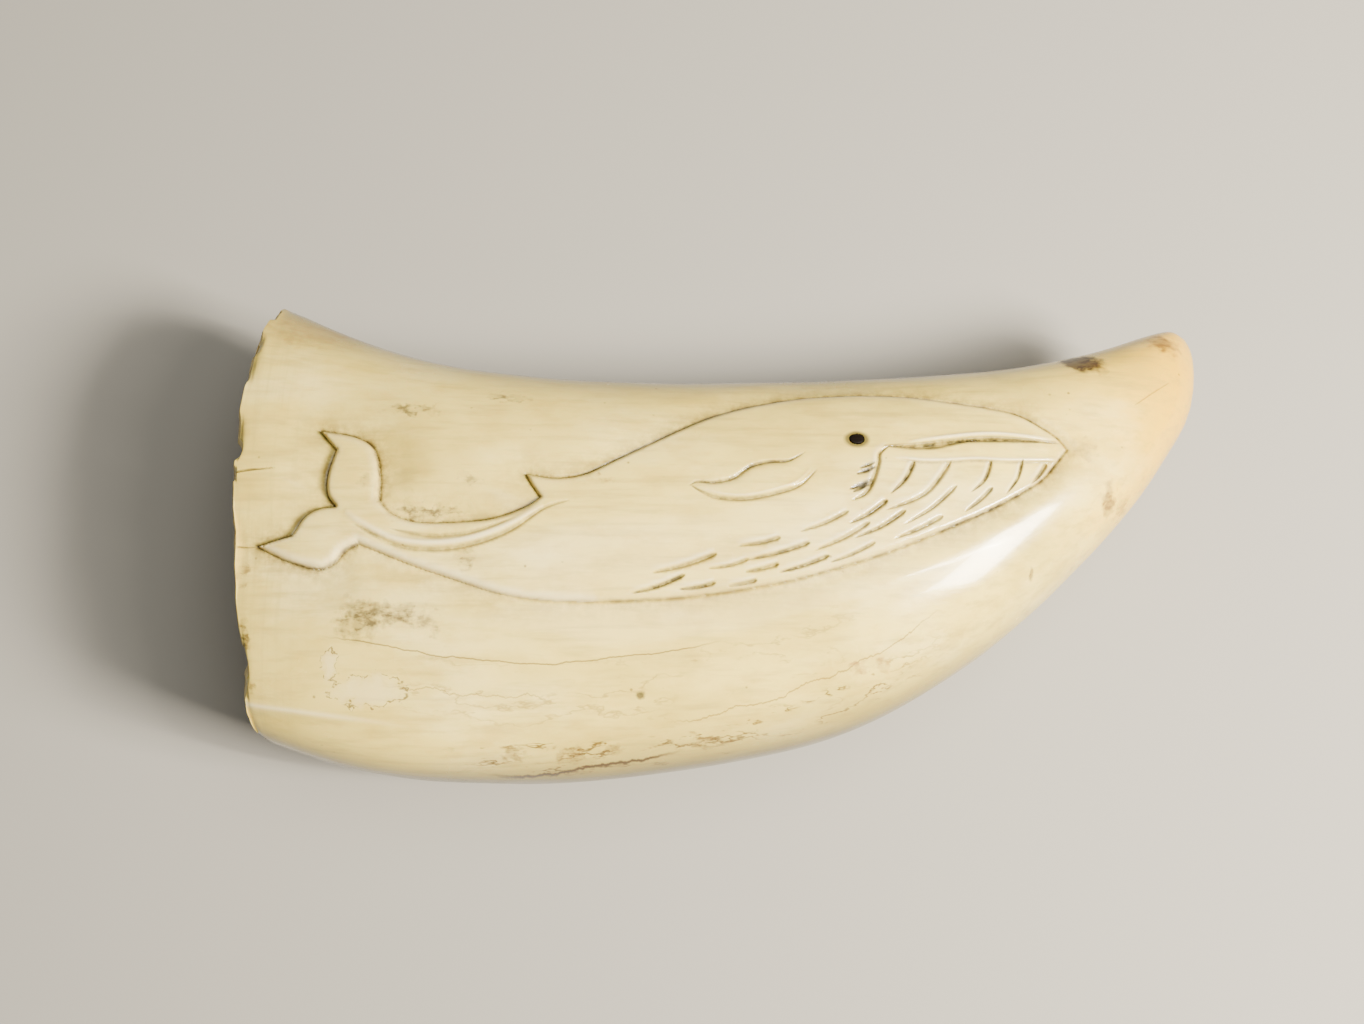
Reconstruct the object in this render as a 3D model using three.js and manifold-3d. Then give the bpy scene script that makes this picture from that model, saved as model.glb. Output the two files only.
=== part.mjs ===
// A scrimshaw whale tooth: one curved, flattened tooth with a hollow root, lying on its plain side.
// A swimming whale is carved in relief along its upper face, and its eye is a small dark inlay.
// Millimetres, +Z up. +X runs from the open root to the tip, and +Y to the hollow side of the bend.
// The origin is under the middle of the tooth's box, on the surface it lies on.

import * as THREE from "three";
import { LoftGeometry } from "three/addons/geometries/LoftGeometry.js";
import { mergeVertices } from "three/addons/utils/BufferGeometryUtils.js";
import Module from "manifold-3d";

const { clamp, degToRad, smoothstep } = THREE.MathUtils;

const wasm = await Module();
wasm.setup();

// The tooth's ribs from root to tip: both edges of its outline in plan, and half its thickness.
const RIBS = [
  { upper: [-69.9, 36.9], lower: [-69.4, -30.8], half: 18.5 },
  { upper: [-58.3, 32.2], lower: [-58.4, -34.1], half: 19.5 },
  { upper: [-46.2, 28.4], lower: [-46.3, -36.2], half: 20.2 },
  { upper: [-33.7, 26.1], lower: [-32.9, -37.0], half: 20.5 },
  { upper: [-18.3, 24.8], lower: [-18.0, -36.5], half: 20.5 },
  { upper: [-2.9, 24.4], lower: [-1.4, -34.4], half: 20.2 },
  { upper: [12.5, 24.7], lower: [15.2, -30.8], half: 19.6 },
  { upper: [24.8, 25.2], lower: [28.8, -24.9], half: 18.6 },
  { upper: [35.7, 25.9], lower: [40.2, -17.5], half: 17.2 },
  { upper: [45.0, 26.9], lower: [49.7, -9.6], half: 15.6 },
  { upper: [53.6, 28.4], lower: [58.4, -1.1], half: 13.4 },
  { upper: [61.1, 30.5], lower: [65.0, 6.4], half: 11.0 },
  { upper: [66.9, 32.6], lower: [70.0, 13.4], half: 8.6 },
  { upper: [70.8, 33.7], lower: [73.6, 19.8], half: 5.6 },
  { upper: [72.3, 33.5], lower: [75.0, 27.7], half: 3.0 },
  { upper: [74.2, 32.6], lower: [74.2, 32.6], half: 0.0 },
];
const LAST_RIB = RIBS.length - 1;
const MID_HEIGHT = 19.7; // the tooth's middle plane; what reaches below 0 is cut off as the flat spot

// How square a section is: an ellipse has 2. Near the root the lower shoulder is squarer.
const SQUARENESS = { body: 2.25, rootLower: 4.0, fadesByRib: 4.5 };

// The broken rim: how far back it lies at even steps from the lower edge to the upper, and how far
// its underside stands out beyond that.
const RIM = {
  line: [2.1, 1.5, 0.7, 0.1, -0.7, -0.85, -0.2, 0.8, 2.1],
  underBow: 4.4,
  bowPower: 4.2,
  fade: 1.1,
};
const RIM_CHIPS = [
  { angle: 78, deep: 0.9, wide: 1.6 },
  { angle: 128, deep: 1.2, wide: 1.8 },
  { angle: 158, deep: 1.6, wide: 2.6 },
  { angle: 215, deep: 1.8, wide: 3.4 },
  { angle: 300, deep: 1.3, wide: 2.4 },
];
const CHIP_WALL_SHARE = 0.95; // chips sit in the rim's wall, this far out from the section's middle

// The pulp cavity: a flattened cone open at the root, from in front of the rim to its end rib.
const PULP = { wall: 3.4, startRib: -0.5, endRib: 4.6, taperPower: 1.5, tipPower: 0.9 };
const PULP_STEPS = { along: 13, around: 26 };

// The whale in plan, as named edges that meet at corners, from the snout over the back.
const WHALE = {
  back: [
    [50.8, 10.7], [49.5, 12.3], [47.3, 13.9], [42.7, 16.4], [34.8, 18.1], [26.7, 19.4], [17.9, 19.6],
    [10.1, 18.9], [-0.9, 15.7], [-9.7, 11.2], [-15.7, 8.0], [-19.6, 6.0], [-23.6, 5.4], [-28.0, 6.0],
  ],
  dorsalFin: [[-28.0, 6.0], [-27.1, 4.4], [-25.8, 2.5]],
  stockTop: [
    [-25.8, 2.5], [-28.1, 0.9], [-32.5, -0.7], [-38.0, -1.2], [-43.5, -1.1], [-46.9, 0.1], [-48.8, 2.0],
  ],
  farFlukeFront: [[-48.8, 2.0], [-48.9, 5.6], [-49.4, 8.3], [-50.5, 10.5], [-53.4, 12.0], [-58.2, 12.9]],
  farFlukeTip: [[-58.2, 12.9], [-56.9, 11.4], [-55.5, 9.8]],
  farFlukeRear: [[-55.5, 9.8], [-56.4, 6.1], [-56.3, 3.1], [-55.0, 1.2]],
  nearFlukeRear: [[-55.0, 1.2], [-57.3, 0.9], [-59.4, -0.3], [-61.1, -3.0]],
  nearFlukeTip: [[-61.1, -3.0], [-63.6, -3.7], [-66.0, -4.5]],
  nearFlukeFront: [[-66.0, -4.5], [-61.9, -6.5], [-57.3, -7.8], [-54.9, -7.0], [-53.4, -5.2], [-51.5, -4.2]],
  belly: [
    [-51.5, -4.2], [-43.9, -7.3], [-38.1, -9.3], [-31.2, -11.5], [-24.5, -12.5], [-17.1, -12.7],
    [-5.4, -12.0], [6.1, -10.3], [15.6, -7.9], [24.1, -5.1], [31.6, -2.0], [39.4, 1.6], [46.2, 5.6],
    [49.2, 8.8], [50.8, 10.7],
  ],
};
const OUTLINE_STEPS = 2; // straight pieces between two points of the outline
const PRISM = { bottom: 24, top: 46 };

// The ground is cut down around the whale, deepest and widest at the tail, least at the snout.
const GROUND = { stations: [-45, -20, 20, 48], depth: [1.25, 0.75, 0.75, 0.4], reach: [7, 4.5, 4, 3] };
const BODY_SWELL = { height: 0.25, width: 6 };

// Cut lines: each runs through its points, this wide and deep in its middle, and tapers to both ends.
const FACE_LINES = {
  mouth: {
    width: 1.3,
    depth: 0.6,
    points: [[22.9, 10.2], [28.6, 10.4], [32.3, 11.1], [37.5, 12.1], [43.0, 12.0], [50.4, 11.3]],
  },
  mouthCorner: {
    width: 0.8,
    depth: 0.45,
    points: [[24.4, 10.6], [22.9, 9.3], [22.6, 7.8], [21.7, 5.1], [20.5, 3.1], [18.4, 2.0]],
  },
  cheekFold: { width: 0.6, depth: 0.35, points: [[22.4, 7.3], [20.9, 6.6], [19.3, 6.0]] },
  lowerCheekFold: { width: 0.8, depth: 0.45, points: [[21.9, 5.4], [20.0, 4.4], [18.2, 3.7]] },
  lowerLip: {
    width: 0.8,
    depth: 0.4,
    points: [[24.4, 8.7], [28.6, 8.2], [32.6, 8.3], [36.8, 8.6], [41.7, 8.5], [48.0, 8.6]],
  },
  flipperTop: {
    width: 0.8,
    depth: 0.45,
    points: [
      [-4.7, 4.0], [-3.6, 4.7], [-1.1, 4.6], [1.7, 5.3], [4.0, 7.0], [6.7, 7.8], [9.6, 8.0], [12.2, 9.5],
    ],
  },
  flipperBottom: {
    width: 0.8,
    depth: 0.45,
    points: [[-4.7, 4.4], [-2.9, 3.2], [-0.4, 2.2], [3.6, 2.1], [8.3, 3.1], [11.3, 4.3], [13.8, 6.8]],
  },
  stockFold: {
    width: 0.7,
    depth: 0.35,
    points: [
      [-51.4, -2.0], [-46.1, -4.5], [-40.6, -5.2], [-35.2, -4.5], [-29.8, -2.4], [-25.2, 0.7], [-21.4, 1.9],
    ],
  },
};

// The throat's pleats: each row is start x, y, end x, y, and how far its middle bows forward and down.
const PLEAT = { width: 0.75, depth: 0.4 };
const PLEATS = [
  [27.9, 8.2, 24.4, 3.5, 0.5], [33.3, 8.4, 24.1, 1.3, 1.6], [39.2, 8.5, 36.1, 4.0, 0.7],
  [43.9, 8.8, 41.3, 3.9, 0.5], [47.5, 8.4, 45.2, 5.5, 0.2], [33.9, 4.6, 26.4, -1.0, 0.5],
  [39.2, 4.5, 35.2, 1.0, 0.2], [31.7, 0.0, 25.1, -3.2, 0.2], [23.7, 2.2, 18.5, -1.1, 0.3],
  [26.3, 0.7, 19.4, -3.1, 0.4], [18.1, 0.5, 11.5, -2.4, 0.3], [21.1, -1.1, 13.7, -5.0, 0.3],
  [21.8, -4.0, 15.7, -6.8, 0.2], [15.2, -6.0, 8.6, -8.3, 0.2], [12.5, -4.2, 4.2, -6.6, 0.2],
  [8.3, -3.5, 2.7, -4.7, 0.2], [3.8, -6.6, -1.5, -7.9, 0.3], [8.0, -7.3, 3.5, -8.4, 0.1],
  [4.9, -9.6, 1.1, -10.4, 0.1], [-0.7, -5.9, -9.2, -8.5, 0.3], [-0.9, -10.0, -5.8, -10.9, 0.2],
  [-5.2, -8.9, -12.3, -11.4, 0.3],
];
const LINE_LIFT = 0.5; // how far a cutter stands above the surface it cuts
const LINE_STEP = 2.6;

// The eye is an oval peg in a seat drilled square to the face.
const EYE = { at: [19.7, 11.6], halfLength: 1.02, halfWidth: 0.77, depth: 2.0, dome: 0.12, sides: 16 };
const SEAT = { gap: 0.12, above: 1 };

// How the surface is divided.
const RIB_SPACING = 2.8;
const CAP_SHARES = [0, 0.3, 0.6, 0.89];
const SECTION_BANDS = [
  { from: 0, to: 24, steps: 3 },
  { from: 24, to: 124, steps: 19 },
  { from: 124, to: 180, steps: 6 },
  { from: 180, to: 360, steps: 14 },
];
const SAME_POINT = 1e-4;

const IVORY = new THREE.MeshStandardMaterial({ color: 0xe5d7b7, roughness: 0.35, metalness: 0 });
const DARK_HORN = new THREE.MeshStandardMaterial({ color: 0x14110f, roughness: 0.2, metalness: 0 });

// A natural cubic spline through values at 0, 1, 2 and so on.
function naturalSpline(values) {
  const last = values.length - 1;
  const bend = new Array(values.length).fill(0);
  const ratio = new Array(values.length).fill(0);
  for (let i = 1; i < last; i += 1) {
    const divisor = 4 - ratio[i - 1];
    ratio[i] = 1 / divisor;
    bend[i] = (6 * (values[i - 1] - 2 * values[i] + values[i + 1]) - bend[i - 1]) / divisor;
  }
  for (let i = last - 1; i > 0; i -= 1) {
    bend[i] -= ratio[i] * bend[i + 1];
  }
  return (at) => {
    const i = clamp(Math.floor(at), 0, last - 1);
    const after = at - i;
    const before = 1 - after;
    const straight = before * values[i] + after * values[i + 1];
    return straight + ((before ** 3 - before) * bend[i] + (after ** 3 - after) * bend[i + 1]) / 6;
  };
}

const upperX = naturalSpline(RIBS.map((rib) => rib.upper[0]));
const upperY = naturalSpline(RIBS.map((rib) => rib.upper[1]));
const lowerX = naturalSpline(RIBS.map((rib) => rib.lower[0]));
const lowerY = naturalSpline(RIBS.map((rib) => rib.lower[1]));
const halfThickness = naturalSpline(RIBS.map((rib) => rib.half));
const rimLine = naturalSpline(RIM.line);

// A section's middle in plan, and the way from there to its upper edge.
function section(rib) {
  const upper = new THREE.Vector2(upperX(rib), upperY(rib));
  const lower = new THREE.Vector2(lowerX(rib), lowerY(rib));
  const middle = upper.clone().add(lower).multiplyScalar(0.5);
  return { middle, half: upper.sub(middle) };
}

function squareness(rib, across) {
  if (across > 0) return SQUARENESS.body;
  const rootShare = 1 - smoothstep(rib, 0, SQUARENESS.fadesByRib);
  return SQUARENESS.body + rootShare * (SQUARENESS.rootLower - SQUARENESS.body);
}

// How far behind its section a point near the rim lies. Across and up run from -1 to 1.
function rimOffset(rib, across, up) {
  const line = rimLine(((across + 1) / 2) * (RIM.line.length - 1));
  const bow = (RIM.underBow * (1 - up) * (1 - Math.abs(across) ** RIM.bowPower)) / 2;
  return (line - bow) * Math.exp(-((rib / RIM.fade) ** 2));
}

function placeInPlan(rib, across, up) {
  const { middle, half } = section(rib);
  middle.x += rimOffset(rib, across, up);
  return middle.addScaledVector(half, across);
}

// A point of the section at a rib: angle 0 is the outline's upper edge, 90 degrees the carved face.
function toothPoint(rib, angle, shareAcross = 1, shareUp = shareAcross) {
  const cos = Math.cos(angle);
  const sin = Math.sin(angle);
  const power = squareness(rib, cos);
  const radius = (Math.abs(cos) ** power + Math.abs(sin) ** power) ** (-1 / power);
  const up = sin * radius * shareUp;
  const { x, y } = placeInPlan(rib, cos * radius * shareAcross, up);
  return new THREE.Vector3(x, y, MID_HEIGHT + halfThickness(rib) * up);
}

// The smooth carved face's height over a place in plan, found by Newton's method in rib and across.
function faceHeight(x, y) {
  const nudge = 1e-4;
  let rib = clamp(LAST_RIB * (0.5 + x / 170), 1, LAST_RIB - 1);
  let across = 0;
  for (let i = 0; i < 12; i += 1) {
    const here = placeInPlan(rib, across, 1);
    const byRib = placeInPlan(rib + nudge, across, 1).sub(here).divideScalar(nudge);
    const byAcross = placeInPlan(rib, across + nudge, 1).sub(here).divideScalar(nudge);
    const miss = new THREE.Vector2(x, y).sub(here);
    const area = byRib.cross(byAcross);
    rib = clamp(rib + miss.cross(byAcross) / area, 0, LAST_RIB - 0.05);
    across = clamp(across + byRib.cross(miss) / area, -0.97, 0.97);
  }
  const power = squareness(rib, across);
  return MID_HEIGHT + halfThickness(rib) * (1 - Math.abs(across) ** power) ** (1 / power);
}

function faceNormal(x, y) {
  const reach = 0.5;
  const slopeX = (faceHeight(x + reach, y) - faceHeight(x - reach, y)) / (2 * reach);
  const slopeY = (faceHeight(x, y + reach) - faceHeight(x, y - reach)) / (2 * reach);
  return new THREE.Vector3(-slopeX, -slopeY, 1).normalize();
}

// A closed three.js geometry as a manifold solid, with shared points merged and empty triangles dropped.
function toSolid(geometry) {
  const bare = new THREE.BufferGeometry().setAttribute("position", geometry.attributes.position);
  const merged = mergeVertices(bare.setIndex(geometry.index), SAME_POINT);
  const triangles = [];
  for (let i = 0; i < merged.index.count; i += 3) {
    const [a, b, c] = [0, 1, 2].map((corner) => merged.index.getX(i + corner));
    if (a !== b && b !== c && c !== a) triangles.push(a, b, c);
  }
  const vertProperties = new Float32Array(merged.attributes.position.array);
  const triVerts = new Uint32Array(triangles);
  return new wasm.Manifold(new wasm.Mesh({ numProp: 3, vertProperties, triVerts }));
}

function toMesh(name, solid, material) {
  const { vertProperties, triVerts } = solid.getMesh();
  const geometry = new THREE.BufferGeometry();
  geometry.setAttribute("position", new THREE.BufferAttribute(vertProperties, 3));
  geometry.setIndex(new THREE.BufferAttribute(triVerts, 1));
  geometry.computeVertexNormals();
  const mesh = new THREE.Mesh(geometry, material);
  mesh.name = name;
  return mesh;
}

// A closed body through rings of points. Each end ring is one point, repeated.
function closedLoft(pointAt, along, around) {
  const rings = Array.from({ length: along + 1 }, (_, step) =>
    Array.from({ length: around }, (_, turn) => pointAt(step, turn)),
  );
  return toSolid(new LoftGeometry(rings));
}

// Ribs from the root to the tip, about one spacing apart along the tooth's middle.
function ribStations() {
  const stations = [];
  for (let i = 0; i < LAST_RIB; i += 1) {
    const length = section(i).middle.distanceTo(section(i + 1).middle);
    const steps = Math.max(2, Math.round(length / RIB_SPACING));
    for (let step = 0; step < steps; step += 1) stations.push(i + step / steps);
  }
  return [...stations, LAST_RIB];
}

// Angles around a section: close together over the carving, wider apart on the flanks and underside.
function sectionAngles() {
  return SECTION_BANDS.flatMap(({ from, to, steps }) =>
    Array.from({ length: steps }, (_, step) => degToRad(from + ((to - from) * step) / steps)),
  );
}

function whaleShape() {
  const shape = new THREE.Shape().moveTo(...WHALE.back[0]);
  for (const edge of Object.values(WHALE)) {
    shape.splineThru(edge.slice(1).map(([x, y]) => new THREE.Vector2(x, y)));
  }
  return shape;
}

const whaleOutline = whaleShape().getPoints(OUTLINE_STEPS);

// Distance to the whale's outline: below 0 inside it.
function outlineDistance(x, y) {
  const place = new THREE.Vector2(x, y);
  let nearest = Infinity;
  let inside = false;
  whaleOutline.forEach((start, i) => {
    const end = whaleOutline[(i + 1) % whaleOutline.length];
    const edge = end.clone().sub(start);
    const fromStart = place.clone().sub(start);
    const share = clamp(fromStart.dot(edge) / Math.max(edge.lengthSq(), SAME_POINT), 0, 1);
    nearest = Math.min(nearest, fromStart.addScaledVector(edge, -share).length());
    const crosses = start.y > y !== end.y > y && x < start.x + (edge.x * (y - start.y)) / edge.y;
    if (crosses) inside = !inside;
  });
  return inside ? -nearest : nearest;
}

// A value given at stations along X, blended smoothly between them.
function alongX(x, stations, values) {
  return stations.slice(1).reduce(
    (value, station, i) => value + (values[i + 1] - values[i]) * smoothstep(x, stations[i], station),
    values[0],
  );
}

function groundSink(x, y) {
  const reach = alongX(x, GROUND.stations, GROUND.reach);
  const depth = alongX(x, GROUND.stations, GROUND.depth);
  return depth * (1 - smoothstep(outlineDistance(x, y), 0, reach));
}

function bodySwell(x, y) {
  const inward = clamp(-outlineDistance(x, y) / BODY_SWELL.width, 0, 1);
  return BODY_SWELL.height * (1 - (1 - inward) ** 2);
}

// The tooth's outer form, with its carved face raised by a function of the place in plan.
function toothForm(faceRise) {
  const stations = [
    ...CAP_SHARES.map((share) => ({ rib: 0, share })),
    ...ribStations().map((rib) => ({ rib, share: 1 })),
  ];
  const angles = sectionAngles();
  const pointAt = (step, turn) => {
    const { rib, share } = stations[step];
    const point = toothPoint(rib, angles[turn], share);
    if (share === 1 && Math.sin(angles[turn]) > 0) point.z += faceRise(point.x, point.y);
    return point;
  };
  return closedLoft(pointAt, stations.length - 1, angles.length);
}

// The whale: the face's own surface, a little swollen, within the whale's outline.
function whaleRelief() {
  const depth = PRISM.top - PRISM.bottom;
  const options = { depth, bevelEnabled: false, curveSegments: OUTLINE_STEPS };
  const prism = new THREE.ExtrudeGeometry(whaleShape(), options).translate(0, 0, PRISM.bottom);
  return toothForm(bodySwell).intersect(toSolid(prism));
}

function pulpCavity() {
  const pointAt = (step, turn) => {
    const share = Math.max(step - 1, 0) / (PULP_STEPS.along - 1);
    const rib = PULP.startRib + share * (PULP.endRib - PULP.startRib);
    const deep = Math.max(rib, 0) / PULP.endRib;
    const taper = step === 0 ? 0 : (1 - deep ** PULP.taperPower) ** PULP.tipPower;
    const shareAcross = taper * (1 - PULP.wall / section(rib).half.length());
    const shareUp = taper * (1 - PULP.wall / halfThickness(rib));
    return toothPoint(rib, (turn / PULP_STEPS.around) * 2 * Math.PI, shareAcross, shareUp);
  };
  return closedLoft(pointAt, PULP_STEPS.along, PULP_STEPS.around);
}

// A three-sided cutter along a line on the carved face, pointed at both ends.
function lineCutter(points, width, depth) {
  const curve = new THREE.SplineCurve(points.map(([x, y]) => new THREE.Vector2(x, y)));
  const steps = Math.max(3, Math.round(curve.getLength() / LINE_STEP));
  const topWidth = (width * (depth + LINE_LIFT)) / depth;
  const corners = [
    { side: 0, drop: depth + LINE_LIFT },
    { side: topWidth / 2, drop: 0 },
    { side: -topWidth / 2, drop: 0 },
  ];
  const pointAt = (step, turn) => {
    const share = step / steps;
    const fullness = Math.sqrt(Math.sin(Math.PI * share));
    const at = curve.getPoint(share);
    const along = curve.getTangent(share);
    const { side, drop } = corners[turn];
    const top = faceHeight(at.x, at.y) + bodySwell(at.x, at.y) + LINE_LIFT;
    at.add(new THREE.Vector2(-along.y, along.x).multiplyScalar(side * fullness));
    return new THREE.Vector3(at.x, at.y, top - drop * fullness);
  };
  return closedLoft(pointAt, steps, corners.length);
}

function pleatPoints([startX, startY, endX, endY, bow]) {
  const start = new THREE.Vector2(startX, startY);
  const end = new THREE.Vector2(endX, endY);
  const along = end.clone().sub(start).normalize();
  const middle = start.clone().lerp(end, 0.5).add(new THREE.Vector2(-along.y, along.x).multiplyScalar(bow));
  return [start.toArray(), middle.toArray(), end.toArray()];
}

function lineCutters() {
  return [
    ...Object.values(FACE_LINES).map(({ points, width, depth }) => lineCutter(points, width, depth)),
    ...PLEATS.map((pleat) => lineCutter(pleatPoints(pleat), PLEAT.width, PLEAT.depth)),
  ];
}

// Sets a body made around the Z axis into the carved face at the eye.
function placeAtEye(geometry) {
  const [x, y] = EYE.at;
  const turn = new THREE.Quaternion().setFromUnitVectors(new THREE.Vector3(0, 0, 1), faceNormal(x, y));
  return geometry.applyQuaternion(turn).translate(x, y, faceHeight(x, y) + bodySwell(x, y));
}

// The eye: a turned peg with a low domed head, squeezed to an oval.
function eyePeg() {
  const profile = [[0, -EYE.depth], [1, -EYE.depth], [1, 0], [0.6, EYE.dome * 0.7], [0, EYE.dome]];
  const points = profile.map(([radius, height]) => new THREE.Vector2(radius, height));
  const peg = new THREE.LatheGeometry(points, EYE.sides).rotateX(Math.PI / 2);
  return toSolid(placeAtEye(peg.scale(EYE.halfLength, EYE.halfWidth, 1)));
}

function eyeSeat() {
  const height = EYE.depth + SEAT.gap + SEAT.above;
  const seat = new THREE.CylinderGeometry(1, 1, height, EYE.sides).rotateX(Math.PI / 2);
  seat.scale(EYE.halfLength + SEAT.gap, EYE.halfWidth + SEAT.gap, 1);
  return toSolid(placeAtEye(seat.translate(0, 0, SEAT.above - height / 2)));
}

// Small many-sided bites that take a notch through the rim's wall.
function rimChips() {
  return RIM_CHIPS.map(({ angle, deep, wide }) => {
    const wall = toothPoint(0, degToRad(angle), CHIP_WALL_SHARE);
    const bite = new THREE.IcosahedronGeometry(1, 0).scale(2 * deep, wide, PULP.wall);
    return toSolid(bite.translate(wall.x - deep, wall.y, wall.z));
  });
}

// Everything above the surface the tooth lies on.
function aboveFloor() {
  const reach = 200;
  return toSolid(new THREE.BoxGeometry(reach, reach, reach).translate(0, 0, reach / 2));
}

function buildTooth() {
  const sunkForm = toothForm((x, y) => -groundSink(x, y));
  const hollow = sunkForm.add(whaleRelief()).subtract(pulpCavity());
  const cutters = [...rimChips(), ...lineCutters(), eyeSeat()];
  const carved = cutters.reduce((solid, cutter) => solid.subtract(cutter), hollow);
  return toMesh("tooth", carved.intersect(aboveFloor()), IVORY);
}

const whaleTooth = new THREE.Group();
whaleTooth.add(buildTooth(), toMesh("eye_inlay", eyePeg(), DARK_HORN));

export default whaleTooth;
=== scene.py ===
"""The looks of a scrimshaw whale tooth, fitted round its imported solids.

The tooth is drawn out as a straight hollow blank, divided finely near the carving, bent onto its
ribs, and carved by moving its points. Sizes are in millimetres in the part's own frame, and turn to
metres when a mesh's points are written: +X runs to the tip, +Y to the hollow side of the bend, and
+Z up out of the carved face.
"""

import logging
import math
from dataclasses import dataclass, replace
from enum import Enum

import bpy
import numpy as np
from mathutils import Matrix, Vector


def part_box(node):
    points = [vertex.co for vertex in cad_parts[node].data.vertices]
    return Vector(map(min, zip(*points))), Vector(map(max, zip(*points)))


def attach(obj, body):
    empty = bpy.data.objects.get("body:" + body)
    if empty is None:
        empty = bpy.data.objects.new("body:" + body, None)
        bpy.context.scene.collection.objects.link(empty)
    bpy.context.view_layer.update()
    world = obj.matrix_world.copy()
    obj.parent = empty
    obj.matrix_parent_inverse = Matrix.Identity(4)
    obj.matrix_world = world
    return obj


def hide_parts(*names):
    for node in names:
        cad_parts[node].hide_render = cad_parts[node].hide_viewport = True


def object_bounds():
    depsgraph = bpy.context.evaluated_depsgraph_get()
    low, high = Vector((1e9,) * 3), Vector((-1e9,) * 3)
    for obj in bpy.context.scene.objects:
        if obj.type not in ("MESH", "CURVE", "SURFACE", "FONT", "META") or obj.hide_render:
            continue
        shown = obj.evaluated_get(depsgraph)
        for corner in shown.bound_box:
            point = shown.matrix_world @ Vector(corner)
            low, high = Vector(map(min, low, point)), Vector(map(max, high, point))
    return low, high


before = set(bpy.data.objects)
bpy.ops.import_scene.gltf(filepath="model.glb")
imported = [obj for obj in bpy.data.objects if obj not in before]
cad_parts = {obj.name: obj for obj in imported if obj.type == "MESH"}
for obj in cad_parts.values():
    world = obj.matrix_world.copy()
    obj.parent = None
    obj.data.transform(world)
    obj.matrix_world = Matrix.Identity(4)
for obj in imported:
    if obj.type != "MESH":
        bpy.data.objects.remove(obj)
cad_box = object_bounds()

log = logging.getLogger("whale_tooth")

Array = np.ndarray
Points = tuple[tuple[float, float], ...]
Place = tuple[float, float, float]
Span = tuple[float, float]
Socket = bpy.types.NodeSocket
Layers = list[tuple[Socket, str]]  # masks and the colours that they let through, from the bottom
MM = 0.001
CHUNK = 4000  # places measured against a line at one time
NEAR_ZERO = 1e-5  # how far rounding may leave a value from nothing


# Measures and curves


def smoothstep(value: Array, start: float, end: float) -> Array:
    """Rises smoothly from 0 at start to 1 at end."""
    share = np.clip((value - start) / (end - start), 0, 1)
    return share * share * (3 - 2 * share)


def bell(value: Array, width: float) -> Array:
    """Falls from 1 at nothing to nearly 0 at twice the width."""
    return np.exp(-((value / width) ** 2))


def smooth_line(points: Points, steps: int = 6) -> Array:
    """Places along a uniform Catmull-Rom curve.

    Args:
        points: The points that the curve runs through.
        steps: How many straight pieces stand for it between two points.

    Returns:
        The places, one row each, with both ends.
    """
    knots = np.array(points, float)
    last = len(knots) - 1
    index = np.repeat(np.arange(last), steps)
    t = np.tile(np.arange(steps) / steps, last)[:, None]
    before, start, end, beyond = (knots[np.clip(index + shift, 0, last)] for shift in (-1, 0, 1, 2))
    leaving, arriving = (end - before) / 2, (beyond - start) / 2
    cubic = 2 * start - 2 * end + leaving + arriving
    square = -3 * start + 3 * end - 2 * leaving - arriving
    return np.vstack([cubic * t**3 + square * t**2 + leaving * t + start, knots[-1]])


@dataclass(frozen=True)
class Nearest:
    """Where places lie by a line.

    Args:
        distance: How far off the line each is.
        side: The same, above 0 on the left of the line's way and below 0 on its right.
        share: How far along the line its nearest point is, from 0 to 1.
    """

    distance: Array
    side: Array
    share: Array


def nearest_on(line: Array, places: Array) -> Nearest:
    """Measures places in plan against a line of straight pieces."""
    starts, edges = line[:-1], np.diff(line, axis=0)
    lengths = np.maximum(np.linalg.norm(edges, axis=1), NEAR_ZERO)
    before = np.concatenate([[0], np.cumsum(lengths)])
    distance, side, share = (np.empty(len(places)) for _ in range(3))
    for first in range(0, len(places), CHUNK):
        part = slice(first, first + CHUNK)
        offset = places[part, None] - starts
        along = np.clip((offset * edges).sum(2) / lengths**2, 0, 1)
        gap = offset - along[..., None] * edges
        off = np.hypot(gap[..., 0], gap[..., 1])
        best = off.argmin(1)
        row = np.arange(len(best))
        near = offset[row, best]
        turn = edges[best, 0] * near[:, 1] - edges[best, 1] * near[:, 0]
        distance[part] = off[row, best]
        side[part] = np.where(turn < 0, -off[row, best], off[row, best])
        share[part] = (before[best] + along[row, best] * lengths[best]) / before[-1]
    return Nearest(distance, side, share)


def near_box(line: Array, places: Array, margin: float) -> Array:
    """True for the places in plan inside a line's box, made wider by a margin."""
    return ((places > line.min(0) - margin) & (places < line.max(0) + margin)).all(1)


def is_inside(outline: Array, places: Array) -> Array:
    """True for the places in plan that a closed outline goes round."""
    inside = np.zeros(len(places), bool)
    for start, end in zip(outline[:-1], outline[1:]):
        if start[1] != end[1]:
            spans = (start[1] > places[:, 1]) != (end[1] > places[:, 1])
            slope = (end[0] - start[0]) / (end[1] - start[1])
            inside ^= spans & (places[:, 0] < start[0] + slope * (places[:, 1] - start[1]))
    return inside


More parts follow.
